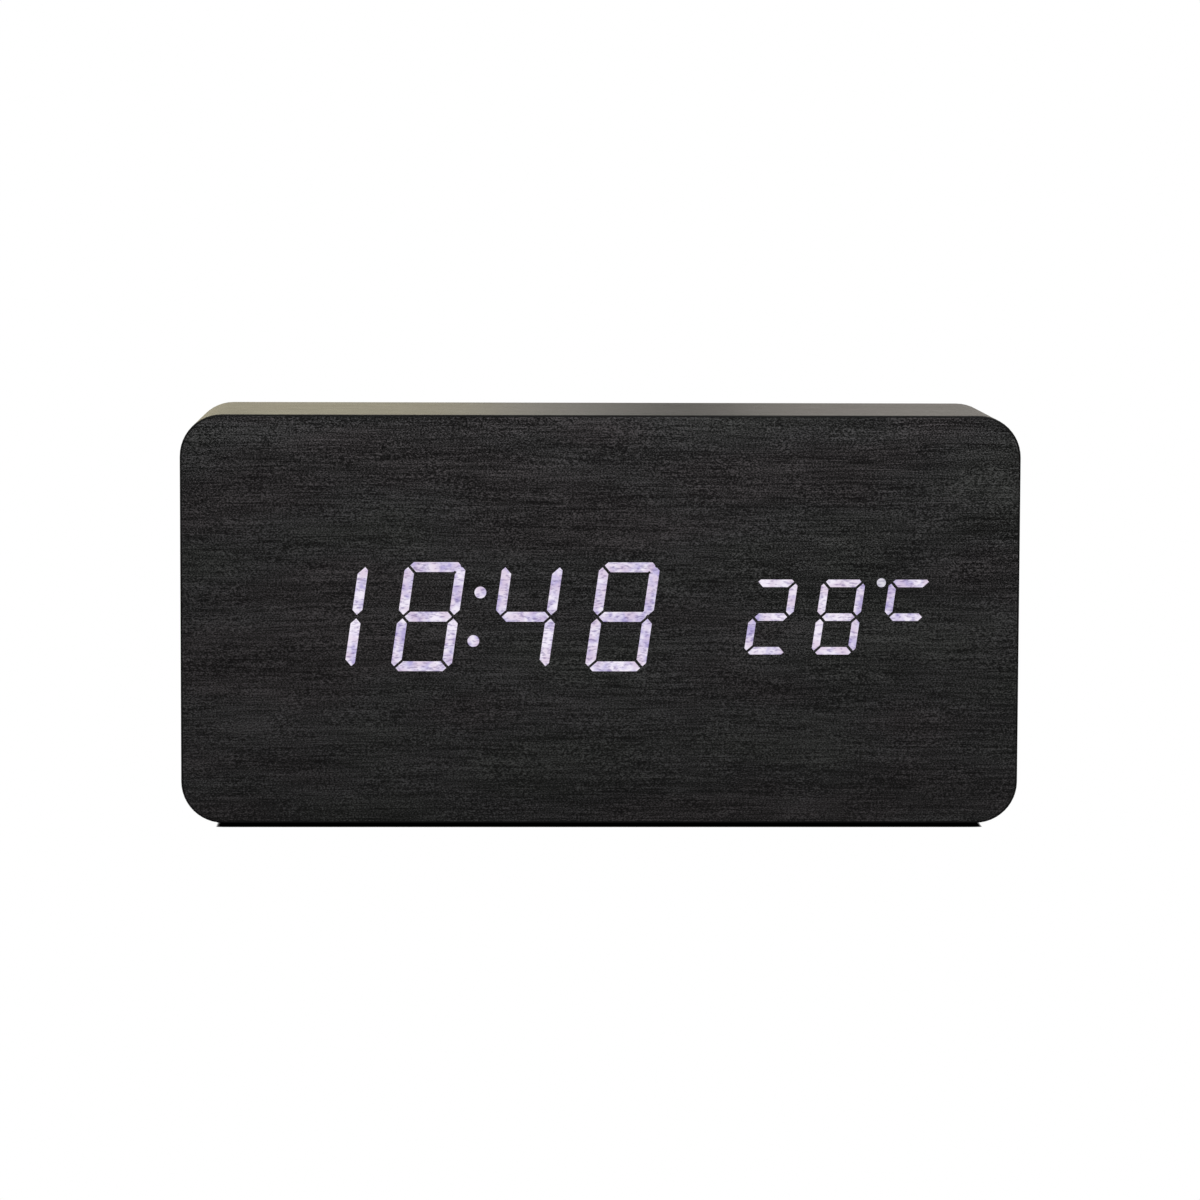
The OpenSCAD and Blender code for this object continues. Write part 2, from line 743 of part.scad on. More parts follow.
module rear_panel() color([0.1, 0.1, 0.1]) {
    difference() {
        union() {
            along_y(panel_in, panel_out) at(0, mid_z) rounded(panel_w, panel_h, panel_r);
            along_y(bay_out_y, panel_in) at(bay_x, bay_z)
                square([bay_in_w + 2 * bay_wall, bay_in_h + 2 * bay_wall], center = true);
            along_y(pocket_y - bay_floor, panel_in) at(bay_x - pocket_w / 2 - bay_wall, bay_z)
                square([pocket_w + 2 * bay_wall, pocket_top + bay_wall - bay_z]);
            translate([control_x, 0, control_z]) four_corners(boss_x, boss_z)
                rod_y(0, 0, boss_r, control_y, panel_in);
        }
        along_y(bay_in_y, panel_in + cut) at(bay_x, bay_z) square([bay_in_w, bay_in_h], center = true);
        along_y(panel_in, panel_out + cut) at(bay_x, bay_z)
            square([door_w + 2 * door_gap, door_h + 2 * door_gap], center = true);
        along_y(pocket_y, panel_out + cut) at(bay_x - pocket_w / 2, bay_z)
            square([pocket_w, pocket_top - bay_z]);
        translate([bay_x, panel_out + scoop_r - scoop_depth, pocket_top + scoop_rise]) sphere(scoop_r);
        at_hooks(hook_gap) translate([notch_y, bay_low - bay_wall - cut])
            square([panel_in - notch_y, bay_wall + 2 * cut]);
        tail_slot(bay_left, bay_z + cell_pitch);
        tail_slot(bay_right - contact_t, bay_z - cell_pitch);
        for (i = [0 : 2]) button_spot(i) along_y(panel_in - cut, panel_out + cut)
            stadium(button_w + 2 * button_gap, button_h + 2 * button_gap);
        along_y(panel_in - cut, panel_out + cut) {
            sound_slots();
            vent_slots();
            at(socket_x, socket_z) plug_outline(shell_t + socket_gap);
        }
        translate([0, 0, mid_z]) four_corners(panel_screw_x, panel_screw_z) {
            rod_y(0, 0, panel_screw[2] + panel_gap, panel_in - cut, panel_out + cut);
            rod_y(0, 0, panel_screw[0] + panel_gap, panel_out - panel_sink, panel_out + cut);
        }
        translate([control_x, 0, control_z]) four_corners(boss_x, boss_z)
            rod_y(0, 0, board_screw[2] + snug, control_y - cut, control_front + board_screw[3] + snug);
    }
    cell_cradles();
}

module rear_panel_screws() color("dimgray") translate([0, 0, mid_z])
    four_corners(panel_screw_x, panel_screw_z) screw(panel_out - panel_sink, 1, panel_screw);

// Battery door: side view of its plate, a hook and the folded latch tongue
module door_profile() {
    translate([pivot_y, pivot_z]) circle(door_t / 2);
    translate([door_in, pivot_z]) square([door_t, door_top - pivot_z]);
}

module hook_profile() {
    polygon([
        [pivot_y, pivot_z], [pivot_y, pivot_z + door_lap], [hook_in, pivot_z + door_lap],
        [hook_in, hook_low], [hook_out, hook_low], [hook_out, pivot_z]
    ]);
}

module latch_profile() {
    translate([latch_y, latch_z]) difference() {
        circle(latch_r + latch_t / 2);
        circle(latch_r - latch_t / 2);
        translate([0, -2 * latch_r]) square(4 * latch_r);
    }
    translate([latch_y, door_top - latch_t]) square([pivot_y - latch_y, latch_t]);
    translate([latch_y, latch_top - latch_t]) square([panel_out - latch_y, latch_t]);
    translate([panel_out - pad_t, latch_top - latch_t]) square([pad_t, pad_h]);
    translate([nib_y, latch_top - nib_h]) square([nib_t, 2 * nib_h]);
}

module battery_door() color([0.14, 0.14, 0.14]) {
    difference() {
        along_x(bay_x - door_w / 2, bay_x + door_w / 2) door_profile();
        for (i = [1 : groove_count])
            translate([bay_x, panel_out - groove_depth, door_top - i * groove_pitch])
                translate([-groove_l / 2, 0, -groove_w]) cube([groove_l, groove_depth + cut, groove_w]);
    }
    at_hooks(0) hook_profile();
    along_x(bay_x - latch_w / 2, bay_x + latch_w / 2) latch_profile();
    for (s = [-1, 1]) translate([bay_x - cradle_x, door_in - rib_h, bay_z + s * cell_pitch / 2 - rib_t / 2])
        cube([2 * cradle_x, rib_h, rib_t]);
}

// Cell: a revolved can with its nub to the right (way 1) or to the left (way -1)
module cell(z, way) {
    r = cell_d / 2;
    start = way > 0 ? bay_right - contact_t - cell_l : bay_left + contact_t + cell_l;
    translate([start, cell_y, z]) rotate([0, way * 90, 0]) rotate_extrude() polygon([
        [0, 0], [r - cell_edge, 0], [r, cell_edge], [r, cell_l - nub_l - cell_edge],
        [r - cell_edge, cell_l - nub_l], [nub_r, cell_l - nub_l], [nub_r, cell_l], [0, cell_l]
    ]);
}

module cell_upper() color("slategray") cell(bay_z + cell_pitch, -1);

module cell_middle() color("slategray") cell(bay_z, 1);

module cell_lower() color("slategray") cell(bay_z - cell_pitch, -1);

// A contact plate on the inside of the bay's end wall, over one cell or two
module contact_plate(x, z0, z1) {
    translate([x, bay_in_y, z0 - contact_w / 2])
        cube([contact_t, contact_top - bay_in_y, z1 - z0 + contact_w]);
}

// The solder tail of a contact, through the bay's floor
module tail(x, z) {
    translate([x, bay_out_y - tail_l, z - tail_w / 2])
        cube([contact_t, bay_floor + tail_l + contact_t, tail_w]);
}

module tail_slot(x, z) {
    translate([x - snug, bay_out_y - cut, z - tail_w / 2 - snug])
        cube([contact_t + 2 * snug, bay_floor + 2 * cut, tail_w + 2 * snug]);
}

module positive_contact() color("gainsboro") {
    contact_plate(bay_left, bay_z + cell_pitch, bay_z + cell_pitch);
    tail(bay_left, bay_z + cell_pitch);
}

module negative_contact() color("gainsboro") {
    contact_plate(bay_right - contact_t, bay_z - cell_pitch, bay_z - cell_pitch);
    tail(bay_right - contact_t, bay_z - cell_pitch);
}

module left_bridge_contact() color("gainsboro") contact_plate(bay_left, bay_z - cell_pitch, bay_z);

module right_bridge_contact() color("gainsboro")
    contact_plate(bay_right - contact_t, bay_z, bay_z + cell_pitch);

// A tube swept along points, with a ring of the given sides across the path at each point
function unit(v) = v / norm(v);

function heading(p, i) = unit(p[min(i + 1, len(p) - 1)] - p[max(i - 1, 0)]);

function ring(p, i, r, sides, side_ref) =
    let (t = heading(p, i), n = unit(cross(side_ref, t)), b = cross(t, n))
    [for (k = [0 : sides - 1]) p[i] + r * (cos(k * 360 / sides) * n + sin(k * 360 / sides) * b)];

function tube_points(p, r, sides, side_ref) =
    [for (i = [0 : len(p) - 1]) each ring(p, i, r, sides, side_ref)];

function tube_faces(count, sides) = [
    for (k = [1 : sides - 2]) [0, k, k + 1],
    for (i = [0 : count - 2], k = [0 : sides - 1])
        let (a = i * sides + k, b = i * sides + (k + 1) % sides)
            each [[a, a + sides, b], [b, a + sides, b + sides]],
    for (k = [1 : sides - 2]) let (o = (count - 1) * sides) [o, o + k + 1, o + k]
];

module tube(p, r, sides, side_ref) {
    polyhedron(tube_points(p, r, sides, side_ref), tube_faces(len(p), sides));
}

// Cone-shaped coil, from the contact plate (u = 0) to the cell
spring_rings = spring_turns * curl_rings;
spring_rise = spring_l - 2 * (wire_r + snug);
spring_path = [for (i = [0 : spring_rings])
    let (
        u = i / spring_rings,
        r = spring_base_r + u * (spring_tip_r - spring_base_r),
        a = i * 360 / curl_rings
    )
        [wire_r + snug + u * spring_rise, r * cos(a), r * sin(a)]];

// Least distance between the wire's faces half a turn or more apart
spring_self_gap = min([
    for (i = [0 : spring_rings], j = [0 : spring_rings])
        if (j - i > curl_rings / 2) norm(spring_path[i] - spring_path[j]) - 2 * wire_r
]);

module spring(x, z, way) {
    translate([x, cell_y, z]) rotate([0, 0, way > 0 ? 0 : 180])
        tube(spring_path, wire_r, wire_sides, [1, 0, 0]);
}

module cell_springs() color("silver") {
    echo(least_gap_of_spring_to_itself = spring_self_gap);
    spring(bay_right - contact_t, bay_z + cell_pitch, -1);
    spring(bay_left + contact_t, bay_z, 1);
    spring(bay_right - contact_t, bay_z - cell_pitch, -1);
}

// Controls behind the rear panel
module control_board() color("darkgreen") difference() {
    along_y(control_front, control_y) at(control_x, control_z) rounded(control_w, control_h, board_r);
    translate([control_x, 0, control_z]) four_corners(boss_x, boss_z)
        rod_y(0, 0, board_screw[2] + snug, control_front - cut, control_y + cut);
}

module control_board_screws() color("silver") translate([control_x, 0, control_z])
    four_corners(boss_x, boss_z) screw(control_front, -1, board_screw);

module push_switches() color([0.2, 0.2, 0.2]) for (i = [0 : 2]) button_spot(i) difference() {
    along_y(control_y, control_y + switch_t) square(switch_w, center = true);
    rod_y(0, 0, plunger_r + plunger_gap,
        control_y + switch_t - plunger_in - button_travel - plunger_room, control_y + switch_t + cut);
}

module push_button(i) button_spot(i) {
    difference() {
        along_y(panel_in - flange_gap - flange_t, panel_out + button_proud) stadium(button_w, button_h);
        translate([0, panel_out + button_proud + dish_r - dish_depth, 0]) sphere(dish_r);
    }
    along_y(panel_in - flange_gap - flange_t, panel_in - flange_gap)
        stadium(button_w + 2 * flange_w, button_h + 2 * flange_w);
    rod_y(0, 0, stem_r, plunger_top, panel_in - flange_gap - flange_t / 2);
}

module plunger(i) button_spot(i) rod_y(0, 0, plunger_r, control_y + switch_t - plunger_in, plunger_top);

module set_button() color([0.22, 0.22, 0.22]) push_button(0);

module up_button() color([0.22, 0.22, 0.22]) push_button(1);

module down_button() color([0.22, 0.22, 0.22]) push_button(2);

module set_plunger() color("black") plunger(0);

module up_plunger() color("black") plunger(1);

module down_plunger() color("black") plunger(2);

// Power socket: an upright shell with two cut corners and a tongue
module plug_outline(grow) {
    w = plug_w / 2 + grow;
    h = plug_h / 2 + grow;
    polygon([[-w, h], [w, h], [w, plug_cut - h], [w - plug_cut, -h], [plug_cut - w, -h], [-w, plug_cut - h]]);
}

module socket_shell() color("silver") along_y(control_y, panel_out - socket_sunk) at(socket_x, socket_z)
    difference() {
        plug_outline(shell_t);
        plug_outline(0);
    }

module socket_tongue() color([0.1, 0.1, 0.1]) {
    along_y(control_y, control_y + tongue_base) at(socket_x, socket_z) plug_outline(0);
    along_y(control_y, panel_out - socket_sunk - tongue_short) at(socket_x, socket_z)
        square([tongue_w, tongue_t], center = true);
}

module alarm_buzzer() color([0.12, 0.12, 0.12]) difference() {
    union() {
        rod_y(buzzer_x, socket_z, buzzer_r, control_y, buzzer_y - buzzer_rim);
        rod_y(buzzer_x, socket_z, buzzer_r - buzzer_rim, control_y, buzzer_y);
    }
    rod_y(buzzer_x, socket_z, buzzer_hole_r, buzzer_y - buzzer_hole_l, buzzer_y + cut);
}

module temperature_sensor() color("sienna") {
    translate([sensor_x, sensor_y, socket_z]) sphere(sensor_r);
    for (s = [-1, 1]) rod_y(sensor_x + s * sensor_lead_gap / 2, socket_z, sensor_lead_r, control_y, sensor_y);
}

// Wiring between the boards and from the bay to the display board
module board_ribbon() color("lightgray") {
    line = [for (i = [0 : ribbon_steps])
        let (u = i / ribbon_steps)
            [board_y + u * (control_front - board_y), control_z + ribbon_rise * cos(180 * u)]];
    half = [0, ribbon_t / 2];
    along_x(ribbon_x - ribbon_w / 2, ribbon_x + ribbon_w / 2) polygon(concat(
        [for (p = line) p + half],
        [for (i = [ribbon_steps : -1 : 0]) line[i] - half]
    ));
}

// Free points of the two battery leads, between the contact's tail and the board
positive_bow = [[-48, 0, 48], [-49, -5, 49], [-49, -10, 49]];
negative_bow = [[4, 0, 23], [5, -5, 22], [5, -10, 22]];

module lead(tail_x, tail_z, bow) {
    start = [tail_x + contact_t / 2, bay_out_y - tail_l, tail_z];
    last = bow[len(bow) - 1];
    route = concat([start, start - [0, 2 * lead_r, 0]], bow, [[last[0], board_y, last[2]]]);
    tube(route, lead_r, lead_sides, [0, 0, 1]);
}

module positive_lead() color("firebrick") lead(bay_left, bay_z + cell_pitch, positive_bow);

module negative_lead() color([0.08, 0.08, 0.08])
    lead(bay_right - contact_t, bay_z - cell_pitch, negative_bow);

case_core();
side_wrap();
front_film();
rubber_feet();
time_segments();
colon_dots();
temperature_segments();
degree_dot();
segment_mask();
diffuser_sheet();
reflector_frame();
display_board();
display_leds();
display_board_screws();
controller_chip();
driver_chip();
clock_crystal();
smoothing_capacitor();
rear_panel();
rear_panel_screws();
battery_door();
cell_upper();
cell_middle();
cell_lower();
positive_contact();
negative_contact();
left_bridge_contact();
right_bridge_contact();
cell_springs();
control_board();
control_board_screws();
push_switches();
set_button();
up_button();
down_button();
set_plunger();
up_plunger();
down_plunger();
socket_shell();
socket_tongue();
alarm_buzzer();
temperature_sensor();
board_ribbon();
positive_lead();
negative_lead();
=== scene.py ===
"""Digital alarm clock: a wood-look block with a lit time and temperature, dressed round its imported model."""

import logging
import math
from contextlib import contextmanager
from dataclasses import dataclass, field
from enum import Enum
from typing import Any, Iterator, Sequence

import bmesh
import bpy
from mathutils import Matrix, Vector


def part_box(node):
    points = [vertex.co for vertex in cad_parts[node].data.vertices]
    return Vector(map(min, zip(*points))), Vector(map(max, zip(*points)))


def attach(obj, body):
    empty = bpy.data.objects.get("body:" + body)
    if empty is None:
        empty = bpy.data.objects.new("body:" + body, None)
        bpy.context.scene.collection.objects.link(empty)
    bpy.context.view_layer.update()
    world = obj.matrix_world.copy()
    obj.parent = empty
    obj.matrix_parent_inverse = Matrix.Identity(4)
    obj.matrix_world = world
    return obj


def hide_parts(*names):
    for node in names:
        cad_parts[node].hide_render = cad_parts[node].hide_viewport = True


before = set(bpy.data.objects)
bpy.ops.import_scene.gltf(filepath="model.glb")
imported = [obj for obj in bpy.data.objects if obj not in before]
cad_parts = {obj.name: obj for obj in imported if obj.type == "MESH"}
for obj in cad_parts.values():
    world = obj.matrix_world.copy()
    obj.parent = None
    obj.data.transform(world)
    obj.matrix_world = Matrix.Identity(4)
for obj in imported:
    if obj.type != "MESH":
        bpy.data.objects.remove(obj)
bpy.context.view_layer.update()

LOG = logging.getLogger("clock")
MM = 0.001
# Points closer together than this, in metres, are one point.
MERGE = 1e-6
# Faces that meet at less than this turn are one flat face.
FLAT_TURN = math.radians(0.5)
# Faces that meet at more than this turn form a sharp edge.
SHARP_TURN = math.radians(35)
# A wave texture turns by this many radians for each unit of its place.
WAVE_RATE = 20
# A noise texture has nearly all its values in this range.
NOISE_SPAN = (0.3, 0.7)
# Sockets of a node that mixes two colours: the second one's share, the two colours, the result.
SHARE, FIRST, SECOND, MIXED = 0, 6, 7, 2
# Faces across the small rounding of an edge.
EDGE_STEPS = 2
BODY = "case"
WRAP_UV = "wrap"

Colour = tuple[float, float, float, float]
Inputs = dict[str | int, Any]
Node = bpy.types.Node
Piece = bpy.types.Object
Point = tuple[float, float, float]
Socket = bpy.types.NodeSocket
Span = tuple[float, float]
Tree = bpy.types.NodeTree


class Grain(Enum):
    """The axis that the grain is thin across: up the front face, or front to back on the wrapped film."""

    FRONT = "z"
    WRAP = "y"


class Sign(Enum):
    """Generic signs on the buttons and the cells."""

    RING = "ring"
    UP = "up"
    DOWN = "down"
    PLUS = "plus"
    MINUS = "minus"


def srgb(code: str) -> Colour:
    """Turn an sRGB hex value into a linear colour.

    Args:
        code: six hex digits.

    Returns:
        Linear red, green, blue and an alpha of 1.
    """
    parts = [int(code[i:i + 2], 16) / 255 for i in (0, 2, 4)]
    red, green, blue = [c / 12.92 if c <= 0.04045 else ((c + 0.055) / 1.055) ** 2.4 for c in parts]
    return red, green, blue, 1.0


def scaled(colour: Colour, by: float) -> Colour:
    """Make a linear colour darker or lighter by a factor."""
    red, green, blue, alpha = colour
    return by * red, by * green, by * blue, alpha


def per_mm(size: float) -> float:
    """Give the scale at which one unit of a pattern that reads metres takes this many millimetres."""
    return 1 / (size * MM)


def fill(tree: Tree, node: Node, inputs: Inputs) -> None:
    """Set or link a node's inputs.

    Args:
        tree: the tree that holds the node.
        node: the node.
        inputs: socket name or number, and the number, hex or linear colour, or socket that goes there.
    """
    for key, value in inputs.items():
        if isinstance(value, Socket):
            tree.links.new(value, node.inputs[key])
        else:
            node.inputs[key].default_value = srgb(value) if isinstance(value, str) else value


def add(tree: Tree, kind: str, inputs: Inputs | None = None, out: str | int = 0, **settings: Any) -> Socket:
    """Add a shader node with its settings and links.

    Args:
        tree: the tree that gets the node.
        kind: the node's type name after "ShaderNode".
        inputs: what goes into its sockets.
        out: name or number of the output that is wanted.
        settings: the node's own properties; ramp holds (place, colour) stops.

    Returns:
        The wanted output.
    """
    node = tree.nodes.new(f"ShaderNode{kind}")
    stops = list(settings.pop("ramp", ()))
    for key, value in settings.items():
        setattr(node, key, value)
    if stops:
        elements = node.color_ramp.elements
        while len(elements) < len(stops):
            elements.new(1.0)
        for element, (place, colour) in zip(elements, stops):
            element.position = place
            element.color = srgb(colour) if isinstance(colour, str) else colour
    fill(tree, node, inputs or {})
    return node.outputs[out]


def only(obj: Piece) -> None:
    """Select one object alone and make it active.

    Args:
        obj: the object.
    """
    bpy.ops.object.select_all(action="DESELECT")
    obj.select_set(True)
    bpy.context.view_layer.objects.active = obj


@contextmanager
def editing(obj: Piece) -> Iterator[bmesh.types.BMesh]:
    """Open an object's mesh in edit mode with nothing selected.

    Args:
        obj: the object.

    Yields:
        The mesh under edit, for choosing faces and edges in code.
    """
    only(obj)
    bpy.ops.object.mode_set(mode="EDIT")
    bpy.ops.mesh.select_mode(type="EDGE")
    bpy.ops.mesh.select_all(action="DESELECT")
    yield bmesh.from_edit_mesh(obj.data)
    bpy.ops.object.mode_set(mode="OBJECT")


def merged_copy(node: str, name: str) -> Piece:
    """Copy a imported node's mesh, join its loose triangles and clear flat seams.

    Args:
        node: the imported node.
        name: the new piece's name.

    Returns:
        The new piece, at the origin.
    """
    obj = bpy.data.objects.new(name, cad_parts[node].data.copy())
    obj.data.materials.clear()
    bpy.context.scene.collection.objects.link(obj)
    only(obj)
    bpy.ops.mesh.customdata_custom_splitnormals_clear()
    with editing(obj):
        bpy.ops.mesh.select_all(action="SELECT")
        bpy.ops.mesh.remove_doubles(threshold=MERGE)
        bpy.ops.mesh.dissolve_limited(angle_limit=FLAT_TURN)
    return obj


def twin(obj: Piece, name: str, shift: Vector) -> Piece:
    """Copy a piece with a mesh of its own, moved.

    Args:
        obj: the piece.
        name: the copy's name.
        shift: how far the copy lies from the piece, in metres.

    Returns:
        The copy, at the origin like the piece.
    """
    copy = bpy.data.objects.new(name, obj.data.copy())
    copy.data.name = name
    copy.data.transform(Matrix.Translation(shift))
    bpy.context.scene.collection.objects.link(copy)
    return copy


def rounded_copy(node: str, name: str, radius_mm: float) -> Piece:
    """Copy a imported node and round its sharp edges.

    Args:
        node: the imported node.
        name: the new piece's name.
        radius_mm: width of the rounding in millimetres.

    Returns:
        The new piece.
    """
    obj = merged_copy(node, name)
    bpy.ops.object.shade_smooth()
    bevel = obj.modifiers.new("edges", "BEVEL")
    bevel.width = radius_mm * MM
    bevel.segments = EDGE_STEPS
    bevel.limit_method = "ANGLE"
    bevel.angle_limit = SHARP_TURN
    # Broad faces lead the shading, so flats stay flat beside a rounding or a shallow scoop.
    lead = obj.modifiers.new("shading", "WEIGHTED_NORMAL")
    for step in (bevel.name, lead.name):
        bpy.ops.object.modifier_apply(modifier=step)
    return obj


def settle(obj: Piece, body: str, slot: str, finish: "Finish", *nodes: str) -> None:
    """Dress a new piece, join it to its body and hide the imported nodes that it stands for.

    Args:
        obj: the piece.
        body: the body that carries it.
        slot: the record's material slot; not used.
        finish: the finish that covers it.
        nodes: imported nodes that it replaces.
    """
    if not obj.data.materials:
        obj.data.materials.append(finish.material())
    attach(obj, body)
    if nodes:
        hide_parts(*nodes)
    LOG.info("%s: %d faces, %s", obj.name, len(obj.data.polygons), finish.name)


def dress(finish: "Finish", *nodes: str) -> None:
    """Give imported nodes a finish.

    Args:
        finish: the finish.
        nodes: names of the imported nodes.
    """
    for name in nodes:
        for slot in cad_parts[name].material_slots:
            slot.material = finish.material()
        LOG.info("%s: %s", name, finish.name)


@dataclass(frozen=True)
class Layer:
    """One layer of a pattern, drawn as noise.

    Attributes:
        along_mm, across_mm: length and thickness of its marks.
        detail: how many finer copies are laid over it.
        weight: how strongly it counts.
    """

    along_mm: float
    across_mm: float
    detail: float = 1.0
    weight: float = 0.0

    def draw(self, tree: Tree, place: Socket, across: str = "", out: str = "Fac",
             shift: Point = (0.0, 0.0, 0.0)) -> Socket:
        """Draw the layer.

        Args:
            tree: the material's nodes.
            place: the coordinates that it is drawn on.
            across: the axes on which its marks are thin.
            out: the noise's value or its colour.
            shift: moves the pattern, in marks.

        Returns:
            The layer at each point.
        """
        scale = [per_mm(self.across_mm if axis in across else self.along_mm) for axis in "xyz"]
        spot = add(tree, "Mapping", {"Vector": place, "Scale": scale, "Location": shift})
        return add(tree, "TexNoise", {"Vector": spot, "Scale": 1.0, "Detail": self.detail}, out)


@dataclass(frozen=True)
class Finish:
    """A surface finish, made once as a node material.

    Attributes:
        name: the material's plain name.
        colour: main colour as sRGB hex, as all the colours of a finish are.
        roughness: roughness of the bare surface.
        specular: how strongly the bare surface mirrors, 0.5 for plain plastic.
        gloss_span, gloss_swing: a pattern's range, and how far the roughness strays at either end of it.
        relief_mm, relief_strength: height of a pattern's relief and how clearly it shows.
    """

    name: str
    colour: str
    roughness: float = 0.5
    specular: float = 0.5
    gloss_span: Span = NOISE_SPAN
    gloss_swing: Span = (-0.05, 0.07)
    relief_mm: float = 0.02
    relief_strength: float = 0.5

    def material(self) -> bpy.types.Material:
        """Give the finish's material, making it at the first call.

        Returns:
            The material that all pieces in this finish share.
        """
        made = bpy.data.materials.get(self.name)
        if made:
            return made
        made = bpy.data.materials.new(self.name)
        made.use_nodes = True
        tree = made.node_tree
        shader = tree.nodes["Principled BSDF"]
        fill(tree, shader, {"Base Color": self.colour, "Roughness": self.roughness,
                            "Specular IOR Level": self.specular})
        fill(tree, shader, self.paint(tree))
        return made

    def paint(self, tree: Tree) -> Inputs:
        """Draw the finish's own pattern.

        Args:
            tree: the material's nodes.

        Returns:
            The shader's inputs.
        """
        raise NotImplementedError

    def follow(self, tree: Tree, height: Socket | None = None, mark: Socket | None = None) -> Inputs:
        """Let the surface follow a pattern.

        Args:
            tree: the material's nodes.
            height: the pattern that stands up in relief, if one does.
            mark: the pattern that the gloss follows, if it follows one.

        Returns:
            The shader's normal and roughness.
        """
        inputs: Inputs = {}
        if height is not None:
            inputs["Normal"] = add(tree, "Bump", {"Height": height, "Distance": self.relief_mm * MM,
                                                  "Strength": self.relief_strength})
        if mark is not None:
            low, high = (self.roughness + part for part in self.gloss_swing)
            inputs["Roughness"] = add(tree, "MapRange", {
                "Value": mark, "From Min": self.gloss_span[0], "From Max": self.gloss_span[1],
                "To Min": low, "To Max": high})
        return inputs


@dataclass(frozen=True)
class GrainFilm(Finish):
    """Printed wood-grain foil under satin lacquer: fine broken streaks, soft bands, dark pores.

    Attributes:
        grain: how the grain lies.
        dark, light: the print's darkest and lightest ink.
        moss, plum: faint tints that come and go over the face.
        streak, speck, band, pore, tint: the layers of the print.
        drift, drift_reach_mm: the slow wander of the grain's lines and how far it takes them.
        pore_span: where a pore begins and where it is deepest.
        tone_shift: sets the print's mean tone.
        ink_stops, tint_stops: tones at which the inks and the tints lie.
        seam_mm, seam_ink: way along the film to its seam, 0 for none, and the seam's colour.
    """

    grain: Grain = Grain.FRONT
    dark: str = "0e0e0e"
    light: str = "464546"
    moss: str = "fbfff9"
    plum: str = "fff8f9"
    streak: Layer = Layer(8.5, 0.22, 3.0, 0.68)
    # The real print's specks are about 0.1 mm across, and are drawn coarser to show.
    speck: Layer = Layer(0.30, 0.17, 2.0, 1.56)
    band: Layer = Layer(45.0, 6.0, 2.0, 0.29)
    pore: Layer = Layer(7.0, 0.25, 1.0, 0.09)
    tint: Layer = Layer(32.0, 11.0)
    drift: Layer = Layer(28.0, 9.0)
    drift_reach_mm: float = 1.6
    pore_span: Span = (0.54, 0.67)
    tone_shift: float = -0.552
    ink_stops: Point = (0.52, 0.73, 1.0)
    tint_stops: Point = (0.35, 0.5, 0.65)
    seam_mm: float = 0.0
    seam_ink: str = "060606"
    gloss_span: Span = (0.35, 0.65)
    gloss_swing: Span = (0.05, -0.01)
    relief_mm: float = 0.03
    relief_strength: float = 0.6

    def paint(self, tree: Tree) -> Inputs:
        """Print the grain and the seam.

        Args:
            tree: the material's nodes.

        Returns:
            The shader's inputs.
        """
        if self.grain is Grain.FRONT:
            place = add(tree, "TexCoord", out="Object")
        else:
            place = add(tree, "UVMap", uv_map=WRAP_UV)
        across = self.grain.value
        reach = self.drift_reach_mm * MM
        drift = self.drift.draw(tree, place, across, "Color")
        wander = {0: drift, 1: (0.0, reach, reach), 2: place}
        line = add(tree, "VectorMath", wander, operation="MULTIPLY_ADD")
        layers = (self.streak, self.speck, self.band)
        marks = [layer.draw(tree, line, across) for layer in layers]
        tone = self.tone_shift
        for layer, mark in zip(layers, marks):
            tone = add(tree, "Math", {0: mark, 1: layer.weight, 2: tone}, operation="MULTIPLY_ADD")
        pores = add(tree, "MapRange", {
            "Value": self.pore.draw(tree, line, across), "From Min": self.pore_span[0],
            "From Max": self.pore_span[1], "To Max": self.pore.weight})
        tone = add(tree, "Math", {0: tone, 1: pores}, operation="SUBTRACT")
        ink = add(tree, "ValToRGB", {"Fac": tone},
                  ramp=zip(self.ink_stops, (self.dark, self.colour, self.light)))
        hue = add(tree, "ValToRGB", {"Fac": self.tint.draw(tree, line, across)},
                  ramp=zip(self.tint_stops, (self.moss, "ffffff", self.plum)))
        shade = add(tree, "Mix", {SHARE: 1.0, FIRST: ink, SECOND: hue}, MIXED,
                    data_type="RGBA", blend_type="MULTIPLY")
        if self.seam_mm:
            # The film's two ends meet in a thin dark line along the underside.
            away = add(tree, "Math", {0: add(tree, "SeparateXYZ", {0: place})}, operation="ABSOLUTE")
            seam = add(tree, "Math", {0: away, 1: self.seam_mm * MM}, operation="GREATER_THAN")
            shade = add(tree, "Mix", {SHARE: seam, FIRST: shade, SECOND: self.seam_ink}, MIXED,
                        data_type="RGBA")
        return {"Base Color": shade, **self.follow(tree, tone, marks[0])}


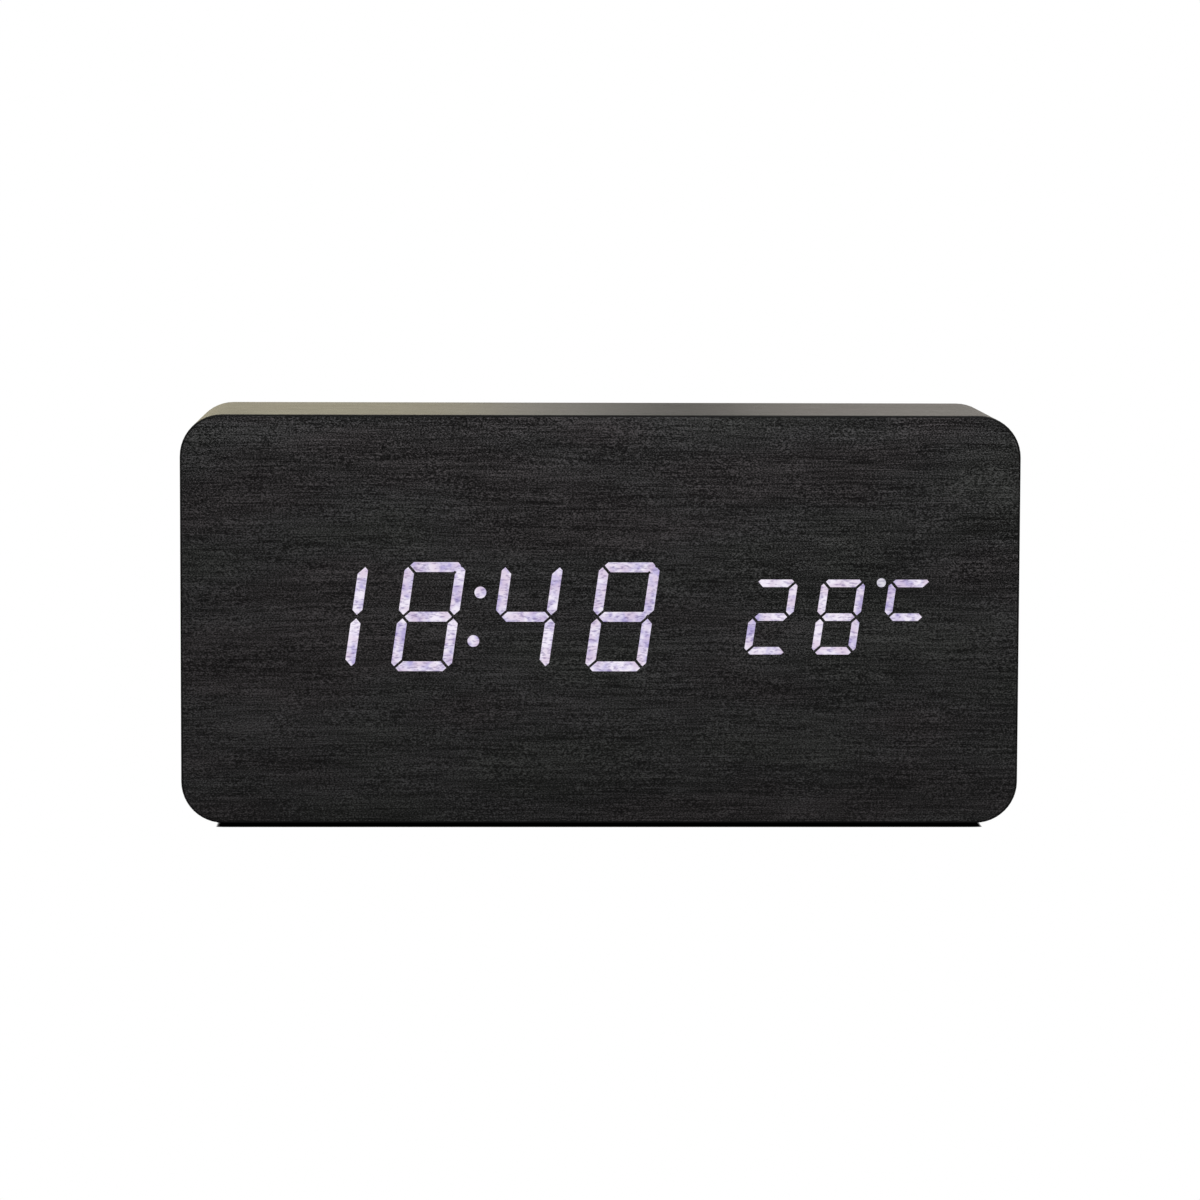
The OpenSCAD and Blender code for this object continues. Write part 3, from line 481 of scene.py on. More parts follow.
@dataclass(frozen=True)
class LitFilm(Finish):
    """The same foil with diodes behind it: cool white light, clouded by the diffuser and crossed by fibres.

    Attributes:
        pale, cool: the light where it is strongest and weakest.
        rose: colour of the warmer patches.
        veil: how a fibre darkens the light.
        cloud, spill: uneven light within a bar, and slow changes from bar to bar.
        patch, patch_shift, patch_span: the warmer patches, their place and their range.
        fibre: the fibres.
        tone_shift: sets the mean of the light.
        light_stops, veil_stops: values at which the colours of light and fibre lie.
        strength: strength of the light; 1 shows the colours as written.
    """

    pale: str = "f8f1ff"
    cool: str = "bcb1df"
    rose: str = "e2d0e6"
    veil: str = "c0bacd"
    cloud: Layer = Layer(1.3, 1.3, 2.0, 0.6)
    spill: Layer = Layer(6.0, 6.0, 1.0, 0.82)
    patch: Layer = Layer(2.6, 2.6, 1.0, 0.75)
    patch_shift: Point = (7.0, 3.0, 5.0)
    patch_span: Span = (0.45, 0.65)
    fibre: Layer = Layer(0.9, 0.3, 2.0)
    tone_shift: float = -0.21
    light_stops: Span = (0.36, 0.58)
    veil_stops: Span = (0.32, 0.50)
    strength: float = 0.93
    relief_strength: float = 0.4

    def paint(self, tree: Tree) -> Inputs:
        """Light the film, with clouds, warm patches and fibres.

        Args:
            tree: the material's nodes.

        Returns:
            The shader's inputs.
        """
        place = add(tree, "TexCoord", out="Object")
        tone = self.tone_shift
        for layer in (self.cloud, self.spill):
            mark = layer.draw(tree, place)
            tone = add(tree, "Math", {0: mark, 1: layer.weight, 2: tone}, operation="MULTIPLY_ADD")
        light = add(tree, "ValToRGB", {"Fac": tone}, ramp=zip(self.light_stops, (self.cool, self.pale)))
        warm = add(tree, "MapRange", {
            "Value": self.patch.draw(tree, place, shift=self.patch_shift), "From Min": self.patch_span[0],
            "From Max": self.patch_span[1], "To Max": self.patch.weight})
        light = add(tree, "Mix", {SHARE: warm, FIRST: light, SECOND: self.rose}, MIXED, data_type="RGBA")
        fibre = self.fibre.draw(tree, place, "z")
        veil = add(tree, "ValToRGB", {"Fac": fibre}, ramp=zip(self.veil_stops, (self.veil, "ffffff")))
        light = add(tree, "Mix", {SHARE: 1.0, FIRST: light, SECOND: veil}, MIXED,
                    data_type="RGBA", blend_type="MULTIPLY")
        return {"Emission Color": light, "Emission Strength": self.strength, **self.follow(tree, fibre)}


@dataclass(frozen=True)
class Moulded(Finish):
    """Injection-moulded plastic: one colour through, with the tool's fine spark-eroded grain.

    Attributes:
        grain_mm: size of the grain.
        slow_grains: how many grains one slow change of gloss takes.
        detail, slow_detail: how many finer copies are laid over the grain and over the slow changes.
        painted_relief_shade: how much darker the pits and lighter the tips are painted, as painted shade and
            painted highlight on the grain.
    """

    grain_mm: float = 0.22
    slow_grains: float = 60
    detail: float = 2.0
    slow_detail: float = 3.0
    painted_relief_shade: float = 0.18

    def paint(self, tree: Tree) -> Inputs:
        """Add fine grain with painted shade in its pits and painted highlight on its tips, and slow changes of
        gloss.

        Args:
            tree: the material's nodes.

        Returns:
            The shader's inputs.
        """
        place = add(tree, "TexCoord", out="Object")
        fine = Layer(self.grain_mm, self.grain_mm, self.detail).draw(tree, place)
        slow_mm = self.slow_grains * self.grain_mm
        slow = Layer(slow_mm, slow_mm, self.slow_detail).draw(tree, place)
        # The grain's pits are painted darker and its tips lighter: painted shade and painted highlight.
        shades = [scaled(srgb(self.colour), 1 + way * self.painted_relief_shade) for way in (-1, 1)]
        tint = add(tree, "ValToRGB", {"Fac": fine}, ramp=zip(NOISE_SPAN, shades))
        return {"Base Color": tint, **self.follow(tree, fine, slow)}


@dataclass(frozen=True)
class Fibreboard(Finish):
    """Medium-density fibreboard under black paint: matt, with pressed fibres that catch a little light,
    painted as lighter tops and darker gaps.

    Attributes:
        deep, high: colours between the fibres and on top of them, painted shade in the gaps and painted
            highlight on the tops.
        fibre_mm: size of the tufts.
        detail, fuzz, curl: how many finer copies lie over them, how strong those are, how far all bend.
        stops: values at which the three colours lie.
    """

    deep: str = "100f0e"
    high: str = "3b352f"
    fibre_mm: float = 0.5
    detail: float = 5.0
    fuzz: float = 0.7
    curl: float = 1.5
    stops: Point = (0.35, 0.55, 0.8)
    relief_mm: float = 0.08
    relief_strength: float = 0.6

    def paint(self, tree: Tree) -> Inputs:
        """Add fibres in no one direction.

        Args:
            tree: the material's nodes.

        Returns:
            The shader's inputs.
        """
        fibre = add(tree, "TexNoise", {
            "Vector": add(tree, "TexCoord", out="Object"), "Scale": per_mm(self.fibre_mm),
            "Detail": self.detail, "Roughness": self.fuzz, "Distortion": self.curl})
        shades = (self.deep, self.colour, self.high)
        # Gaps between the fibres are painted darker and their tops lighter: painted shade and painted
        # highlight.
        tint = add(tree, "ValToRGB", {"Fac": fibre}, ramp=zip(self.stops, shades))
        return {"Base Color": tint, **self.follow(tree, fibre)}


@dataclass(frozen=True)
class Plated(Finish):
    """Plated or blackened steel: a metal with faint rolling lines and small changes of gloss.

    Attributes:
        line: the rolling lines, coarser than the real ones so that they show.
        deep: how dark a line is beside the bare metal.
    """

    line: Layer = Layer(4.0, 0.12, 3.0)
    deep: float = 0.8
    gloss_swing: Span = (0.08, -0.06)

    def paint(self, tree: Tree) -> Inputs:
        """Add rolling lines.

        Args:
            tree: the material's nodes.

        Returns:
            The shader's inputs.
        """
        lines = self.line.draw(tree, add(tree, "TexCoord", out="Object"), "yz")
        bright = srgb(self.colour)
        shades = (scaled(bright, self.deep), bright)
        tint = add(tree, "ValToRGB", {"Fac": lines}, ramp=zip(NOISE_SPAN, shades))
        return {"Base Color": tint, "Metallic": 1.0, **self.follow(tree, mark=lines)}


@dataclass(frozen=True)
class SolderMask(Finish):
    """Glass-fibre circuit board under green solder mask: the copper tracks show through as paler lines.

    Attributes:
        copper, track: the mask's colour over broad copper and over a track.
        pitch_mm: the unit that the tracks are laid out on.
        run, row, track_w: a track's length, distance from the next and width, in units.
        coat: weight of the mask's clear gloss.
    """

    copper: str = "0f4a26"
    track: str = "2f7a45"
    pitch_mm: float = 2.4
    run: float = 3.2
    row: float = 0.8
    track_w: float = 0.09
    coat: float = 0.4

    def paint(self, tree: Tree) -> Inputs:
        """Add tracks on the board's face.

        Args:
            tree: the material's nodes.

        Returns:
            The shader's inputs.
        """
        spot = add(tree, "Mapping", {
            "Vector": add(tree, "TexCoord", out="Object"), "Scale": [per_mm(self.pitch_mm)] * 3,
            "Rotation": (math.pi / 2, 0.0, 0.0)})
        tint = add(tree, "TexBrick", {
            "Vector": spot, "Scale": 1.0, "Mortar Size": self.track_w, "Brick Width": self.run,
            "Row Height": self.row, "Color1": self.colour, "Color2": self.copper,
            "Mortar": self.track})
        return {"Base Color": tint, "Coat Weight": self.coat}


@dataclass(frozen=True)
class CellSleeve(Finish):
    """Shrink sleeve on a steel can: smooth dark film with a paler head, bare bright steel at both ends.

    Attributes:
        steel, ring, head: colours of the bare ends, of the thin ring and of the sleeve past it.
        sleeve_mm, ring_mm: where the sleeve and the ring begin and end, from the flat end.
        start_mm: where the flat end lies, along x.
        way: 1 where the cell points along x, -1 where it points the other way.
        reach_mm: a length past the cell's other end, that the pattern is a share of.
        coat: weight of the sleeve's clear gloss.
    """

    steel: str = "c9c8c4"
    ring: str = "b9bcc2"
    head: str = "4d5a68"
    sleeve_mm: Span = (0.9, 42.6)
    ring_mm: Span = (32.5, 33.3)
    start_mm: float = 0.0
    way: int = 1
    reach_mm: float = 100.0
    coat: float = 0.3

    def paint(self, tree: Tree) -> Inputs:
        """Add the sleeve between the bare ends, with a thin pale ring near the nub.

        Args:
            tree: the material's nodes.

        Returns:
            The shader's inputs.
        """
        along = add(tree, "MapRange", {
            "Value": add(tree, "SeparateXYZ", {0: add(tree, "TexCoord", out="Object")}),
            "From Min": self.start_mm * MM, "From Max": (self.start_mm + self.way * self.reach_mm) * MM})
        bands = []
        for ends, codes in ((self.sleeve_mm, ("ffffff", "000000", "ffffff")),
                            (self.ring_mm, (self.colour, self.ring, self.head))):
            stops = (0.0, ends[0] / self.reach_mm, ends[1] / self.reach_mm)
            band = add(tree, "ValToRGB", {"Fac": along}, ramp=zip(stops, codes))
            band.node.color_ramp.interpolation = "CONSTANT"
            bands.append(band)
        bare, film = bands
        tint = add(tree, "Mix", {SHARE: bare, FIRST: film, SECOND: self.steel}, MIXED, data_type="RGBA")
        return {"Base Color": tint, "Metallic": bare, "Coat Weight": self.coat}


@dataclass(frozen=True)
class Ribbon(Finish):
    """Flat cable: parallel insulated wires with a ridge for each.

    Attributes:
        groove_shade: colour between two wires, painted darker as shade in the groove.
        wire_mm: distance between wires.
        stops: heights of a ridge at which the two colours lie.
    """

    groove_shade: str = "77777a"
    wire_mm: float = 1.0
    stops: Span = (0.0, 0.5)
    relief_mm: float = 0.2
    relief_strength: float = 1.0

    def paint(self, tree: Tree) -> Inputs:
        """Add ridges across the cable, with painted shade in the grooves.

        Args:
            tree: the material's nodes.

        Returns:
            The shader's inputs.
        """
        ridge = add(tree, "TexWave", {
            "Vector": add(tree, "TexCoord", out="Object"), "Distortion": 0.0,
            "Scale": per_mm(self.wire_mm) * 2 * math.pi / WAVE_RATE}, "Fac")
        # The grooves between the wires are painted darker: painted shade.
        tint = add(tree, "ValToRGB", {"Fac": ridge}, ramp=zip(self.stops, (self.groove_shade, self.colour)))
        return {"Base Color": tint, **self.follow(tree, ridge)}


# Satin black foil: dull face on, with a soft clear sheen at a low angle.
FILM = GrainFilm("black_wood_grain_foil", "262626", 0.28, 0.05)
# The same foil pulled flatter round the sides, with its seam underneath.
WRAP_FILM = GrainFilm("black_wood_grain_foil_wrapped", "262626", 0.28, 0.05, grain=Grain.WRAP,
                      relief_mm=0.012, seam_mm=213.85)
# The foil's cut edges, and painted shade on the front film's rounded edge: a thin matt black line round the
# face.
CUT_EDGE_AND_SHADE = Moulded("foil_cut_edge_and_painted_shade", "050505", 0.7, 0.1, grain_mm=0.3)
# Foil over a lit bar: violet-white light, milky and a little uneven.
LIT = LitFilm("foil_lit_from_behind", "1a191a", 0.5, 0.05)
# Foil over a single diode: a plainer, more neutral white.
LIT_DOT = LitFilm("foil_lit_by_one_diode", "1a191a", 0.5, 0.05, pale="f4f1f9", cool="d0cddb", rose="dedbe6")
# Painted fibreboard: a rough brownish black beside the smooth foil.
BOARD_CORE = Fibreboard("black_painted_fibreboard", "1d1a18", 0.75, 0.3)
# Moulded rubber: deep matt black with no highlight.
RUBBER = Moulded("black_rubber", "151515", 0.85, grain_mm=0.35, relief_mm=0.04)
# Printed mask: flat black that shows no shape of its own.
MASK = Moulded("matt_black_mask", "0a0a0a", 0.8)
# Polystyrene sheet: an even milky white with a soft shine.
MILKY = Moulded("milky_diffuser_sheet", "e6e6e4", 0.4)
# White moulded ABS, bright so that the wells throw the light forward.
WHITE = Moulded("white_moulded_reflector", "ecebe7", 0.35)
# Solder mask: glossy green with paler tracks under it.
GREEN = SolderMask("green_solder_mask", "0b3b1e", 0.35)
# Phosphor in clear resin: small shiny yellow blocks.
DIODE = Moulded("yellow_phosphor_resin", "e6d36a", 0.3)
# Moulded epoxy: dull grey-black with a fine grain.
RESIN = Moulded("black_chip_resin", "19191b", 0.6, grain_mm=0.12)
# Nickel on rolled steel: a bright, slightly warm metal.
NICKEL = Plated("nickel_plated_steel", "c8c6c0", 0.28)
# Shrink film on the capacitor: smooth dark blue with a clear highlight.
SLEEVE = Moulded("dark_blue_shrink_sleeve", "141c38", 0.25)
# Black ABS from a spark-eroded tool: an even dull sparkle, partly painted highlight and shade on the grain,
# its 0.1 mm grain drawn coarser to show.
PANEL = Moulded("black_moulded_panel", "1b1b1c", 0.55, grain_mm=0.7, relief_mm=0.11, painted_relief_shade=0.6)
# The same plastic from the door's own tool: a shade lighter and smoother.
DOOR = Moulded("black_moulded_door", "1d1d1e", 0.52, grain_mm=0.7, relief_mm=0.11, painted_relief_shade=0.6)
# Black ABS from a polished tool: smooth caps that catch more light than the panel.
BUTTON = Moulded("smooth_black_button", "232324", 0.38, grain_mm=0.2, relief_mm=0.01)
# Blackened steel: dark metal with a soft glint on its rims.
SCREW = Plated("blackened_steel", "3a3a3c", 0.42)
# Vinyl flat cable: soft grey, ridged by its wires, with painted shade in the grooves.
RIBBON = Ribbon("grey_flat_cable", "a6a6a8", 0.5)
# Vinyl insulation: plain red or black with a soft highlight.
RED = Moulded("red_wire_insulation", "a31a1a", 0.35)
BLACK = Moulded("black_wire_insulation", "161616", 0.35)
# Dipped resin: a shiny brown bead.
BEAD = Moulded("brown_resin_bead", "5a3018", 0.25)
# Thin gold on the contacts: small warm glints deep in the socket.
GOLD = Plated("gold_plated_contact", "d9b45a", 0.22)
# Pad-print ink: a plain soft white.
SIGN_WHITE = Moulded("white_pad_print", "c9c9c6", 0.5)


@dataclass
class Block:
    """The block: films, fibreboard core and feet.

    Attributes:
        edge_mm, edge_steps: rounding of the front film's outer edge and faces across it.
        edge_normals: range of a normal's y on the front film's edge, whose faces are painted black as a shade
            line.
        rim_normal: least size of a normal's y on the wrapped film's cut rim.
        corner_mm: radius of the block's long edges.
        foot_edge_mm: rounding of the feet.
        outline: lowest and highest corner of the front film.
    """

    edge_mm: float = 0.36
    edge_steps: int = 4
    edge_normals: Span = (-0.995, 0.2)
    rim_normal: float = 0.9
    corner_mm: float = 7.4
    foot_edge_mm: float = 0.2
    outline: tuple[Vector, Vector] = field(default_factory=lambda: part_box("front_film"))

    def build(self) -> None:
        """Build and dress the films, the core and the feet."""
        self.front()
        self.wrap()
        feet = rounded_copy("rubber_feet", "foot_pads", self.foot_edge_mm)
        settle(feet, BODY, "foot_rubber", RUBBER, "rubber_feet")
        dress(BOARD_CORE, "case_core")

    def front(self) -> None:
        """Round the front film's outer edge and paint the rounding and cut sides matt black, a painted shade
        line round the face.
        """
        obj = merged_copy("front_film", "front_foil")
        face_y = self.outline[0].y
        least, most = self.edge_normals
        for finish in (FILM, CUT_EDGE_AND_SHADE):
            obj.data.materials.append(finish.material())
        with editing(obj) as mesh:
            for edge in mesh.edges:
                if all(abs(v.co.y - face_y) < MERGE for v in edge.verts) and self.on_outline(edge):
                    edge.select_set(True)
            bmesh.update_edit_mesh(obj.data)
            bpy.ops.mesh.bevel(offset=self.edge_mm * MM, segments=self.edge_steps, affect="EDGES")
            mesh = bmesh.from_edit_mesh(obj.data)
            for face in mesh.faces:
                # The rounding and the cut sides take the black edge finish: painted shade on the rounding, the
                # foil's real cut edge on the sides.
                face.material_index = int(least < face.normal.y < most)
            bmesh.update_edit_mesh(obj.data)
        bpy.ops.object.shade_smooth_by_angle(angle=SHARP_TURN)
        settle(obj, BODY, "wood_film", FILM, "front_film")

    def on_outline(self, edge: bmesh.types.BMEdge) -> bool:
        """Say whether an edge lies where the film's front meets its outer side.

        Args:
            edge: an edge of the front face.

        Returns:
            True for the outer edge, False for the edges of the windows.
        """
        low, high = self.outline
        middle = (edge.verts[0].co + edge.verts[1].co) / 2
        bent = len(edge.link_faces) == 2 and edge.calc_face_angle() > SHARP_TURN
        side = min(middle.x - low.x, high.x - middle.x, middle.z - low.z, high.z - middle.z)
        # A corner's arc comes this far in from the sides.
        inset = self.corner_mm * MM * (1 - math.sqrt(0.5))
        return bent and side < inset + MERGE

    def wrap(self) -> None:
        """Lay the grain round the block: u follows the film, v runs from front to back."""
        obj = merged_copy("side_wrap", "side_foil")
        with editing(obj):
            bpy.ops.mesh.select_all(action="SELECT")
            bpy.ops.mesh.bisect(plane_co=(0, 0, 0), plane_no=(1, 0, 0))
        layer = obj.data.uv_layers.new(name=WRAP_UV)
        for face in obj.data.polygons:
            half = 1 if face.center.x > 0 else -1
            for index in face.loop_indices:
                spot = obj.data.vertices[obj.data.loops[index].vertex_index].co
                layer.data[index].uv = (half * self.round_the_block(spot), spot.y)
        for finish in (WRAP_FILM, CUT_EDGE_AND_SHADE):
            obj.data.materials.append(finish.material())
        for face in obj.data.polygons:
            face.material_index = int(abs(face.normal.y) > self.rim_normal)
        bpy.ops.object.shade_smooth_by_angle(angle=SHARP_TURN)
        settle(obj, BODY, "wood_film", WRAP_FILM, "side_wrap")

    def round_the_block(self, spot: Vector) -> float:
        """Measure the way along the film from the middle of the top to a point.

        Args:
            spot: a point on the film.

        Returns:
            The length in metres, the same on both sides of the block.
        """
        low, high = self.outline
        r = self.corner_mm * MM
        flat, tall = high.x - r, high.z - low.z - 2 * r
        x, z = abs(spot.x), spot.z
        if z > high.z - r:
            return x if x <= flat else flat + r * math.atan2(x - flat, z - (high.z - r))
        if z >= low.z + r:
            return flat + r * math.pi / 2 + high.z - r - z
        if x > flat:
            return flat + r * math.pi / 2 + tall + r * math.atan2(low.z + r - z, x - flat)
        return flat + r * math.pi + tall + flat - x


@dataclass
class Display:
    """The lit areas of the front film and the stack behind them."""

    def build(self) -> None:
        """Dress the lit areas, the optical stack and the display board."""
        dress(LIT, "time_segments", "colon_dots", "temperature_segments")
        dress(LIT_DOT, "degree_dot")
        dress(MASK, "segment_mask")
        dress(MILKY, "diffuser_sheet")
        dress(WHITE, "reflector_frame")
        dress(GREEN, "display_board")
        dress(DIODE, "display_leds")
        dress(NICKEL, "display_board_screws", "clock_crystal")
        dress(RESIN, "controller_chip", "driver_chip")
        dress(SLEEVE, "smoothing_capacitor")


@dataclass
class SignMaker:
    """Makes generic signs as thin raised shapes that face the back.

    Attributes:
        size_mm, stroke_mm: height of a sign and width of its strokes.
        arrow: radius of an arrow's triangle as a share of the height.
        ring_sides: sides of the ring.
        made: the first sign of each kind and its place, for copies.
    """

    size_mm: float = 2.2
    stroke_mm: float = 0.5
    arrow: float = 0.58
    ring_sides: int = 48
    made: dict[Sign, tuple[Piece, Vector]] = field(default_factory=dict)

    def make(self, name: str, sign: Sign, at_mm: Span, depth_mm: Span) -> Piece:
        """Make one sign.

        Args:
            name: the piece's name.
            sign: which sign.
            at_mm: its middle, x and z.
            depth_mm: its inner and outer face, along y.

        Returns:
            The new piece.
        """
        inner, outer = depth_mm
        spot = Vector((at_mm[0], inner, at_mm[1])) * MM
        if sign in self.made:
            first, place = self.made[sign]
            return twin(first, name, spot - place)
        bpy.ops.object.select_all(action="DESELECT")
        turn = (math.pi / 2 if sign is Sign.UP else -math.pi / 2, 0.0, 0.0)
        if sign in (Sign.PLUS, Sign.MINUS):
            bpy.ops.mesh.primitive_plane_add(size=self.stroke_mm * MM, location=spot, rotation=turn)
        else:
            sides, share = (self.ring_sides, 0.5) if sign is Sign.RING else (3, self.arrow)
            bpy.ops.mesh.primitive_circle_add(vertices=sides, radius=share * self.size_mm * MM,
                                              fill_type="NGON", location=spot, rotation=turn)
        obj = bpy.context.object
        obj.name = obj.data.name = name
        bpy.ops.object.transform_apply()
        with editing(obj):
            bpy.ops.mesh.select_all(action="SELECT")
            if sign is Sign.RING:
                bpy.ops.mesh.inset(thickness=self.stroke_mm * MM, depth=0)
                bpy.ops.mesh.delete(type="FACE")
            if sign in (Sign.PLUS, Sign.MINUS):
                self.grow(obj, spot, sign)
            bpy.ops.mesh.select_all(action="SELECT")
            bpy.ops.mesh.extrude_region_move(TRANSFORM_OT_translate={"value": (0, (outer - inner) * MM, 0)})
            bpy.ops.mesh.select_all(action="SELECT")
            bpy.ops.mesh.normals_make_consistent(inside=False)
        self.made[sign] = (obj, spot)
        return obj

    def grow(self, obj: Piece, spot: Vector, sign: Sign) -> None:
        """Extrude a small square's edges into the arms of a plus or a minus.

        Args:
            obj: the square, under edit.
            spot: its middle.
            sign: plus or minus.
        """
        arm = (self.size_mm - self.stroke_mm) / 2 * MM
        ways = [Vector((1, 0, 0)), Vector((-1, 0, 0))]
        if sign is Sign.PLUS:
            ways += [Vector((0, 0, 1)), Vector((0, 0, -1))]
        for way in ways:
            bpy.ops.mesh.select_all(action="DESELECT")
            mesh = bmesh.from_edit_mesh(obj.data)
            for edge in mesh.edges:
                middle = (edge.verts[0].co + edge.verts[1].co) / 2 - spot
                if (middle - way * self.stroke_mm / 2 * MM).length < MERGE:
                    edge.select_set(True)
            bmesh.update_edit_mesh(obj.data)
            bpy.ops.mesh.extrude_region_move(TRANSFORM_OT_translate={"value": way * arm})


@dataclass
class RearPanel:
    """The moulded rear panel and its screws.

    Attributes:
        edge_mm, screw_edge_mm: rounding of the panel's edges and of the screw heads.
    """

    edge_mm: float = 0.15
    screw_edge_mm: float = 0.12

    def build(self) -> None:
        """Round the panel's and the screws' edges and dress them."""
        panel = rounded_copy("rear_panel", "back_panel", self.edge_mm)
        settle(panel, BODY, "black_plastic", PANEL, "rear_panel")
        screws = rounded_copy("rear_panel_screws", "panel_screws", self.screw_edge_mm)
        settle(screws, BODY, "dark_steel", SCREW, "rear_panel_screws")


@dataclass
class BatteryBay:
    """Door, cells, contacts and springs.

    Attributes:
        door_edge_mm: rounding of the door's edges.
        cells: each cell's node, and the way along x that it points.
        sign_mm, sign_inset_mm: height of the signs on the cells and how far they lie from the ends.
        sign_depth_mm: a sign's inner and outer face, from the cell's rearmost line.
    """

    door_edge_mm: float = 0.2
    cells: Sequence[tuple[str, int]] = (("cell_upper", -1), ("cell_middle", 1), ("cell_lower", -1))
    sign_mm: float = 2.6
    sign_inset_mm: float = 5.0
    sign_depth_mm: Span = (-0.26, 0.04)

    def build(self) -> None:
        """Build the door and the signs, and dress the rest."""
        door = rounded_copy("battery_door", "bay_door", self.door_edge_mm)
        settle(door, "battery_door", "door_plastic", DOOR, "battery_door")
        maker = SignMaker(self.sign_mm)
        for name, way in self.cells:
            low, high = (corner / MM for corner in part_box(name))
            start, nub = (low.x, high.x) if way > 0 else (high.x, low.x)
            inset = way * self.sign_inset_mm
            depth = [high.y + part for part in self.sign_depth_mm]
            dress(CellSleeve(f"{name}_sleeve", "23262b", 0.3, start_mm=start, way=way), name)
            for sign, x in ((Sign.PLUS, nub - inset), (Sign.MINUS, start + inset)):
                mark = maker.make(f"{name}_{sign.value}", sign, (x, (low.z + high.z) / 2), depth)
                settle(mark, BODY, "cell_sleeve", SIGN_WHITE)
        dress(NICKEL, "positive_contact", "negative_contact", "left_bridge_contact", "right_bridge_contact",
              "cell_springs")


@dataclass
class Controls:
    """Buttons, switches, power socket, buzzer and sensor on the control board.

    Attributes:
        button_edge_mm, dish_mm: rounding of the buttons and depth of the dish in each.
        signs: the sign on each button.
        sign_depth_mm: a sign's inner and outer face, from the floor of the dish.
        contact_count, contact_pitch_mm: number and spacing of the socket's contacts.
        contact_mm, contact_edge_mm: width, length and thickness of a contact, and its bevel.
        contact_in_mm, contact_drop_mm: its way in from the tongue's tip and down from the middle.
    """

    button_edge_mm: float = 0.3
    dish_mm: float = 0.35
    signs: Sequence[tuple[str, Sign]] = (
        ("set_button", Sign.RING), ("up_button", Sign.UP), ("down_button", Sign.DOWN),
    )
    sign_depth_mm: Span = (-0.1, 0.12)
    contact_count: int = 5
    contact_pitch_mm: float = 0.65
    contact_mm: Point = (0.3, 3.2, 0.12)
    contact_edge_mm: float = 0.03
    contact_in_mm: float = 2.0
    contact_drop_mm: float = 0.325

    def build(self) -> None:
        """Build the buttons, their signs and the socket's contacts, and dress the rest."""
        maker = SignMaker()
        for name, sign in self.signs:
            cap = rounded_copy(name, f"{name}_cap", self.button_edge_mm)
            settle(cap, name, "button_plastic", BUTTON, name)
            low, high = (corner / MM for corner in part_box(name))
            depth = [high.y - self.dish_mm + part for part in self.sign_depth_mm]
            mark = maker.make(f"{name}_sign", sign, ((low.x + high.x) / 2, (low.z + high.z) / 2), depth)
            settle(mark, name, "button_plastic", SIGN_WHITE)
        self.socket_contacts()
        dress(NICKEL, "socket_shell", "control_board_screws")
        dress(RESIN, "socket_tongue", "push_switches", "set_plunger", "up_plunger", "down_plunger",
              "alarm_buzzer")
        dress(BEAD, "temperature_sensor")
        dress(GREEN, "control_board")

    def socket_contacts(self) -> None:
        """Lay the gilt contacts on the underside of the socket's tongue."""
        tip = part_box("socket_tongue")[1] / MM
        middle = sum(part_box("socket_shell"), Vector()) / 2 / MM
        first_x = middle.x - (self.contact_count - 1) / 2 * self.contact_pitch_mm
        spot = Vector((first_x, tip.y - self.contact_in_mm, middle.z - self.contact_drop_mm)) * MM
        bpy.ops.object.select_all(action="DESELECT")
        bpy.ops.mesh.primitive_cube_add(size=1, location=spot, scale=Vector(self.contact_mm) * MM)
        first = bpy.context.object
        first.name = first.data.name = "socket_contacts"
        bpy.ops.object.transform_apply()
        with editing(first):
            bpy.ops.mesh.select_all(action="SELECT")
            bpy.ops.mesh.bevel(offset=self.contact_edge_mm * MM, segments=1, affect="EDGES")
        step = Vector((self.contact_pitch_mm * MM, 0, 0))
        rest = [twin(first, f"contact_{i}", i * step) for i in range(1, self.contact_count)]
        only(first)
        for obj in rest:
            obj.select_set(True)
        bpy.ops.object.join()
        settle(first, BODY, "plated_steel", GOLD)


@dataclass
class Wiring:
    """The ribbon between the boards and the two battery leads."""

    def build(self) -> None:
        """Dress the wiring."""
        dress(RIBBON, "board_ribbon")
        dress(RED, "positive_lead")
        dress(BLACK, "negative_lead")


@dataclass(frozen=True)
class Softbox:
    """One soft lamp.

    Attributes:
        name: the lamp's name.
        place, target: where it hangs and what it points at, in metres.
        size: its width and height in metres.
        watts: its power.
    """

    name: str
    place: Point
    target: Point
    size: Span
    watts: float

    def hang(self) -> None:
        """Hang the lamp and point it."""
        data = bpy.data.lights.new(self.name, "AREA")
        data.shape = "RECTANGLE"
        data.size, data.size_y = self.size
        data.energy = self.watts
        obj = bpy.data.objects.new(self.name, data)
        bpy.context.scene.collection.objects.link(obj)
        obj.location = self.place
        obj.rotation_euler = (Vector(self.target) - Vector(self.place)).to_track_quat("-Z", "Y").to_euler()
        obj.visible_camera = False


